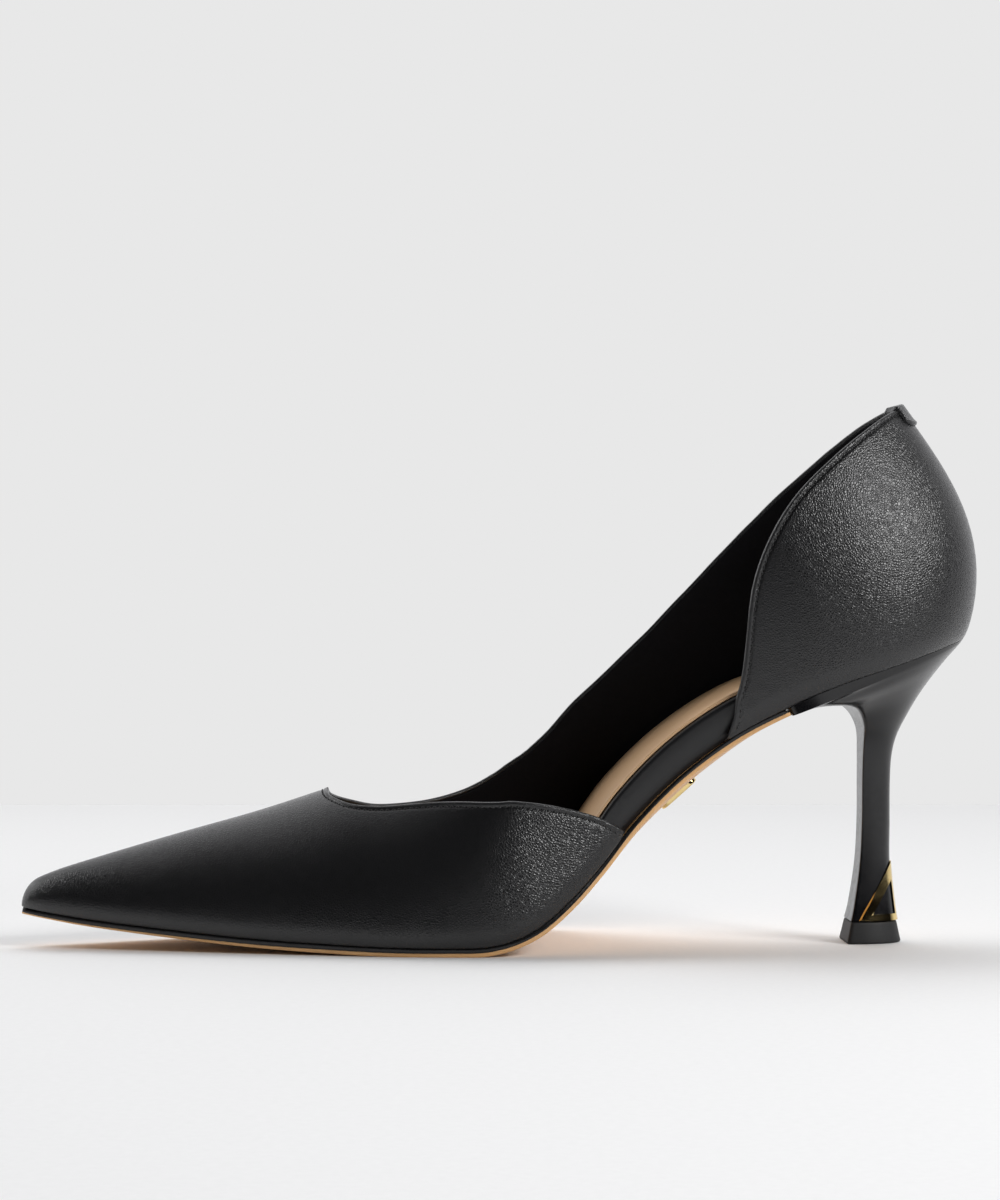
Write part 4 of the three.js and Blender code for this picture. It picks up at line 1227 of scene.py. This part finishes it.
# Floor, light and camera
photo = {
    "height": 1200,
    "focal": 3247,         # pixels
    "azimuth": -2.2,
    "distance": 850,
    "target": (-0.6, -0.64),
    "eyeHeight": 89.7,
    "horizonRow": 805,     # row where the floor meets the backdrop
}
studio = {
    "backdrop": "#e8e8e8",
    "wall": "#f2f2f4",
    "floor": ["#f0f0f0", "#f6f6f6"],
    "tooth": 2,            # mm of the paper's own unevenness
    "room": "#131315",
    "reach": 2500,
    "floorLevel": -0.02,   # clear of the treads, which stand on 0
}


def makeFloor():
    material, tree, surface, place = newMaterial("matt white paper", {"Roughness": 0.9})
    fibres = {"Scale": 1 / (studio["tooth"] * mm), "Detail": 2.0}
    tooth = addNode(tree, "ShaderNodeTexNoise", fibres, {"Vector": place}).outputs["Fac"]
    feed(tree, surface, {"Base Color": blend(tree, tooth, *studio["floor"])})
    belowEye = photo["horizonRow"] - photo["height"] / 2
    far = photo["eyeHeight"] * photo["focal"] / belowEye - photo["distance"]
    reach = studio["reach"]
    turn = math.radians(photo["azimuth"])
    sin, cos = math.sin(turn), math.cos(turn)
    corners = [(-reach, -reach), (reach, -reach), (reach, far), (-reach, far)]
    points = [(x * cos - y * sin, x * sin + y * cos, studio["floorLevel"]) for x, y in corners]
    floor = newObject("floor", points, [[0, 1, 2, 3]])
    floor.data.materials.append(material)


def makeWorld():
    world = bpy.data.worlds.new("studio")
    bpy.context.scene.world = world
    world.use_nodes = True
    tree = world.node_tree
    tree.nodes.clear()
    path = addNode(tree, "ShaderNodeLightPath")
    way = addNode(tree, "ShaderNodeTexCoord").outputs["Generated"]
    parts = addNode(tree, "ShaderNodeSeparateXYZ", links={0: way})
    behind = remap(tree, parts.outputs["Y"], -0.05, 0.35, 0, 1)
    surroundings = addNode(tree, "ShaderNodeMix", {"data_type": "RGBA"}, {0: behind})
    surroundings.inputs[6].default_value = linear(studio["room"])
    surroundings.inputs[7].default_value = linear(studio["wall"])
    room = addNode(tree, "ShaderNodeBackground", {"Strength": 1.0}, {"Color": surroundings.outputs[2]})
    backdrop = addNode(tree, "ShaderNodeBackground", {"Color": linear(studio["backdrop"]), "Strength": 1.0})
    seen = {0: path.outputs["Is Camera Ray"], 1: room.outputs[0], 2: backdrop.outputs[0]}
    mixed = addNode(tree, "ShaderNodeMixShader", links=seen)
    addNode(tree, "ShaderNodeOutputWorld", links={"Surface": mixed.outputs[0]})


def addLight(name, place, aim, size, power, shines=True):
    light = bpy.data.lights.new(name, "AREA")
    light.shape = "RECTANGLE"
    light.size, light.size_y = size[0] * mm, size[1] * mm
    light.energy = power
    lamp = bpy.data.objects.new(name, light)
    bpy.context.scene.collection.objects.link(lamp)
    lamp.location = np.array(place) * mm
    way = np.array(aim, float) - np.array(place, float)
    lamp.rotation_euler = (math.atan2(math.hypot(way[0], way[1]), -way[2]), 0, math.atan2(-way[0], way[1]))
    lamp.visible_glossy = shines


def makeCamera():
    turn = math.radians(photo["azimuth"])
    camera = bpy.data.cameras.new("camera")
    camera.sensor_width = 36
    camera.lens = photo["focal"] * camera.sensor_width / photo["height"]
    camera.clip_start, camera.clip_end = 0.01, 20
    eye = bpy.data.objects.new("camera", camera)
    bpy.context.scene.collection.objects.link(eye)
    x, y = photo["target"]
    away = photo["distance"]
    place = (x + away * math.sin(turn), y - away * math.cos(turn), photo["eyeHeight"])
    eye.location = np.array(place) * mm
    eye.rotation_euler = (math.pi / 2, 0, turn)
    bpy.context.scene.camera = eye


makeFloor()
makeWorld()
addLight("overhead", (-150, 650, 1200), (0, 0, 50), (1500, 600), 7, shines=False)
addLight("keyBox", (810, -650, 655), (100, 0, 100), (560, 360), 8.4)
addLight("leftBox", (-800, 200, 600), (-40, 0, 40), (400, 400), 1.5)
makeCamera()
bpy.context.scene.view_settings.view_transform = "Standard"
print("stage lit")
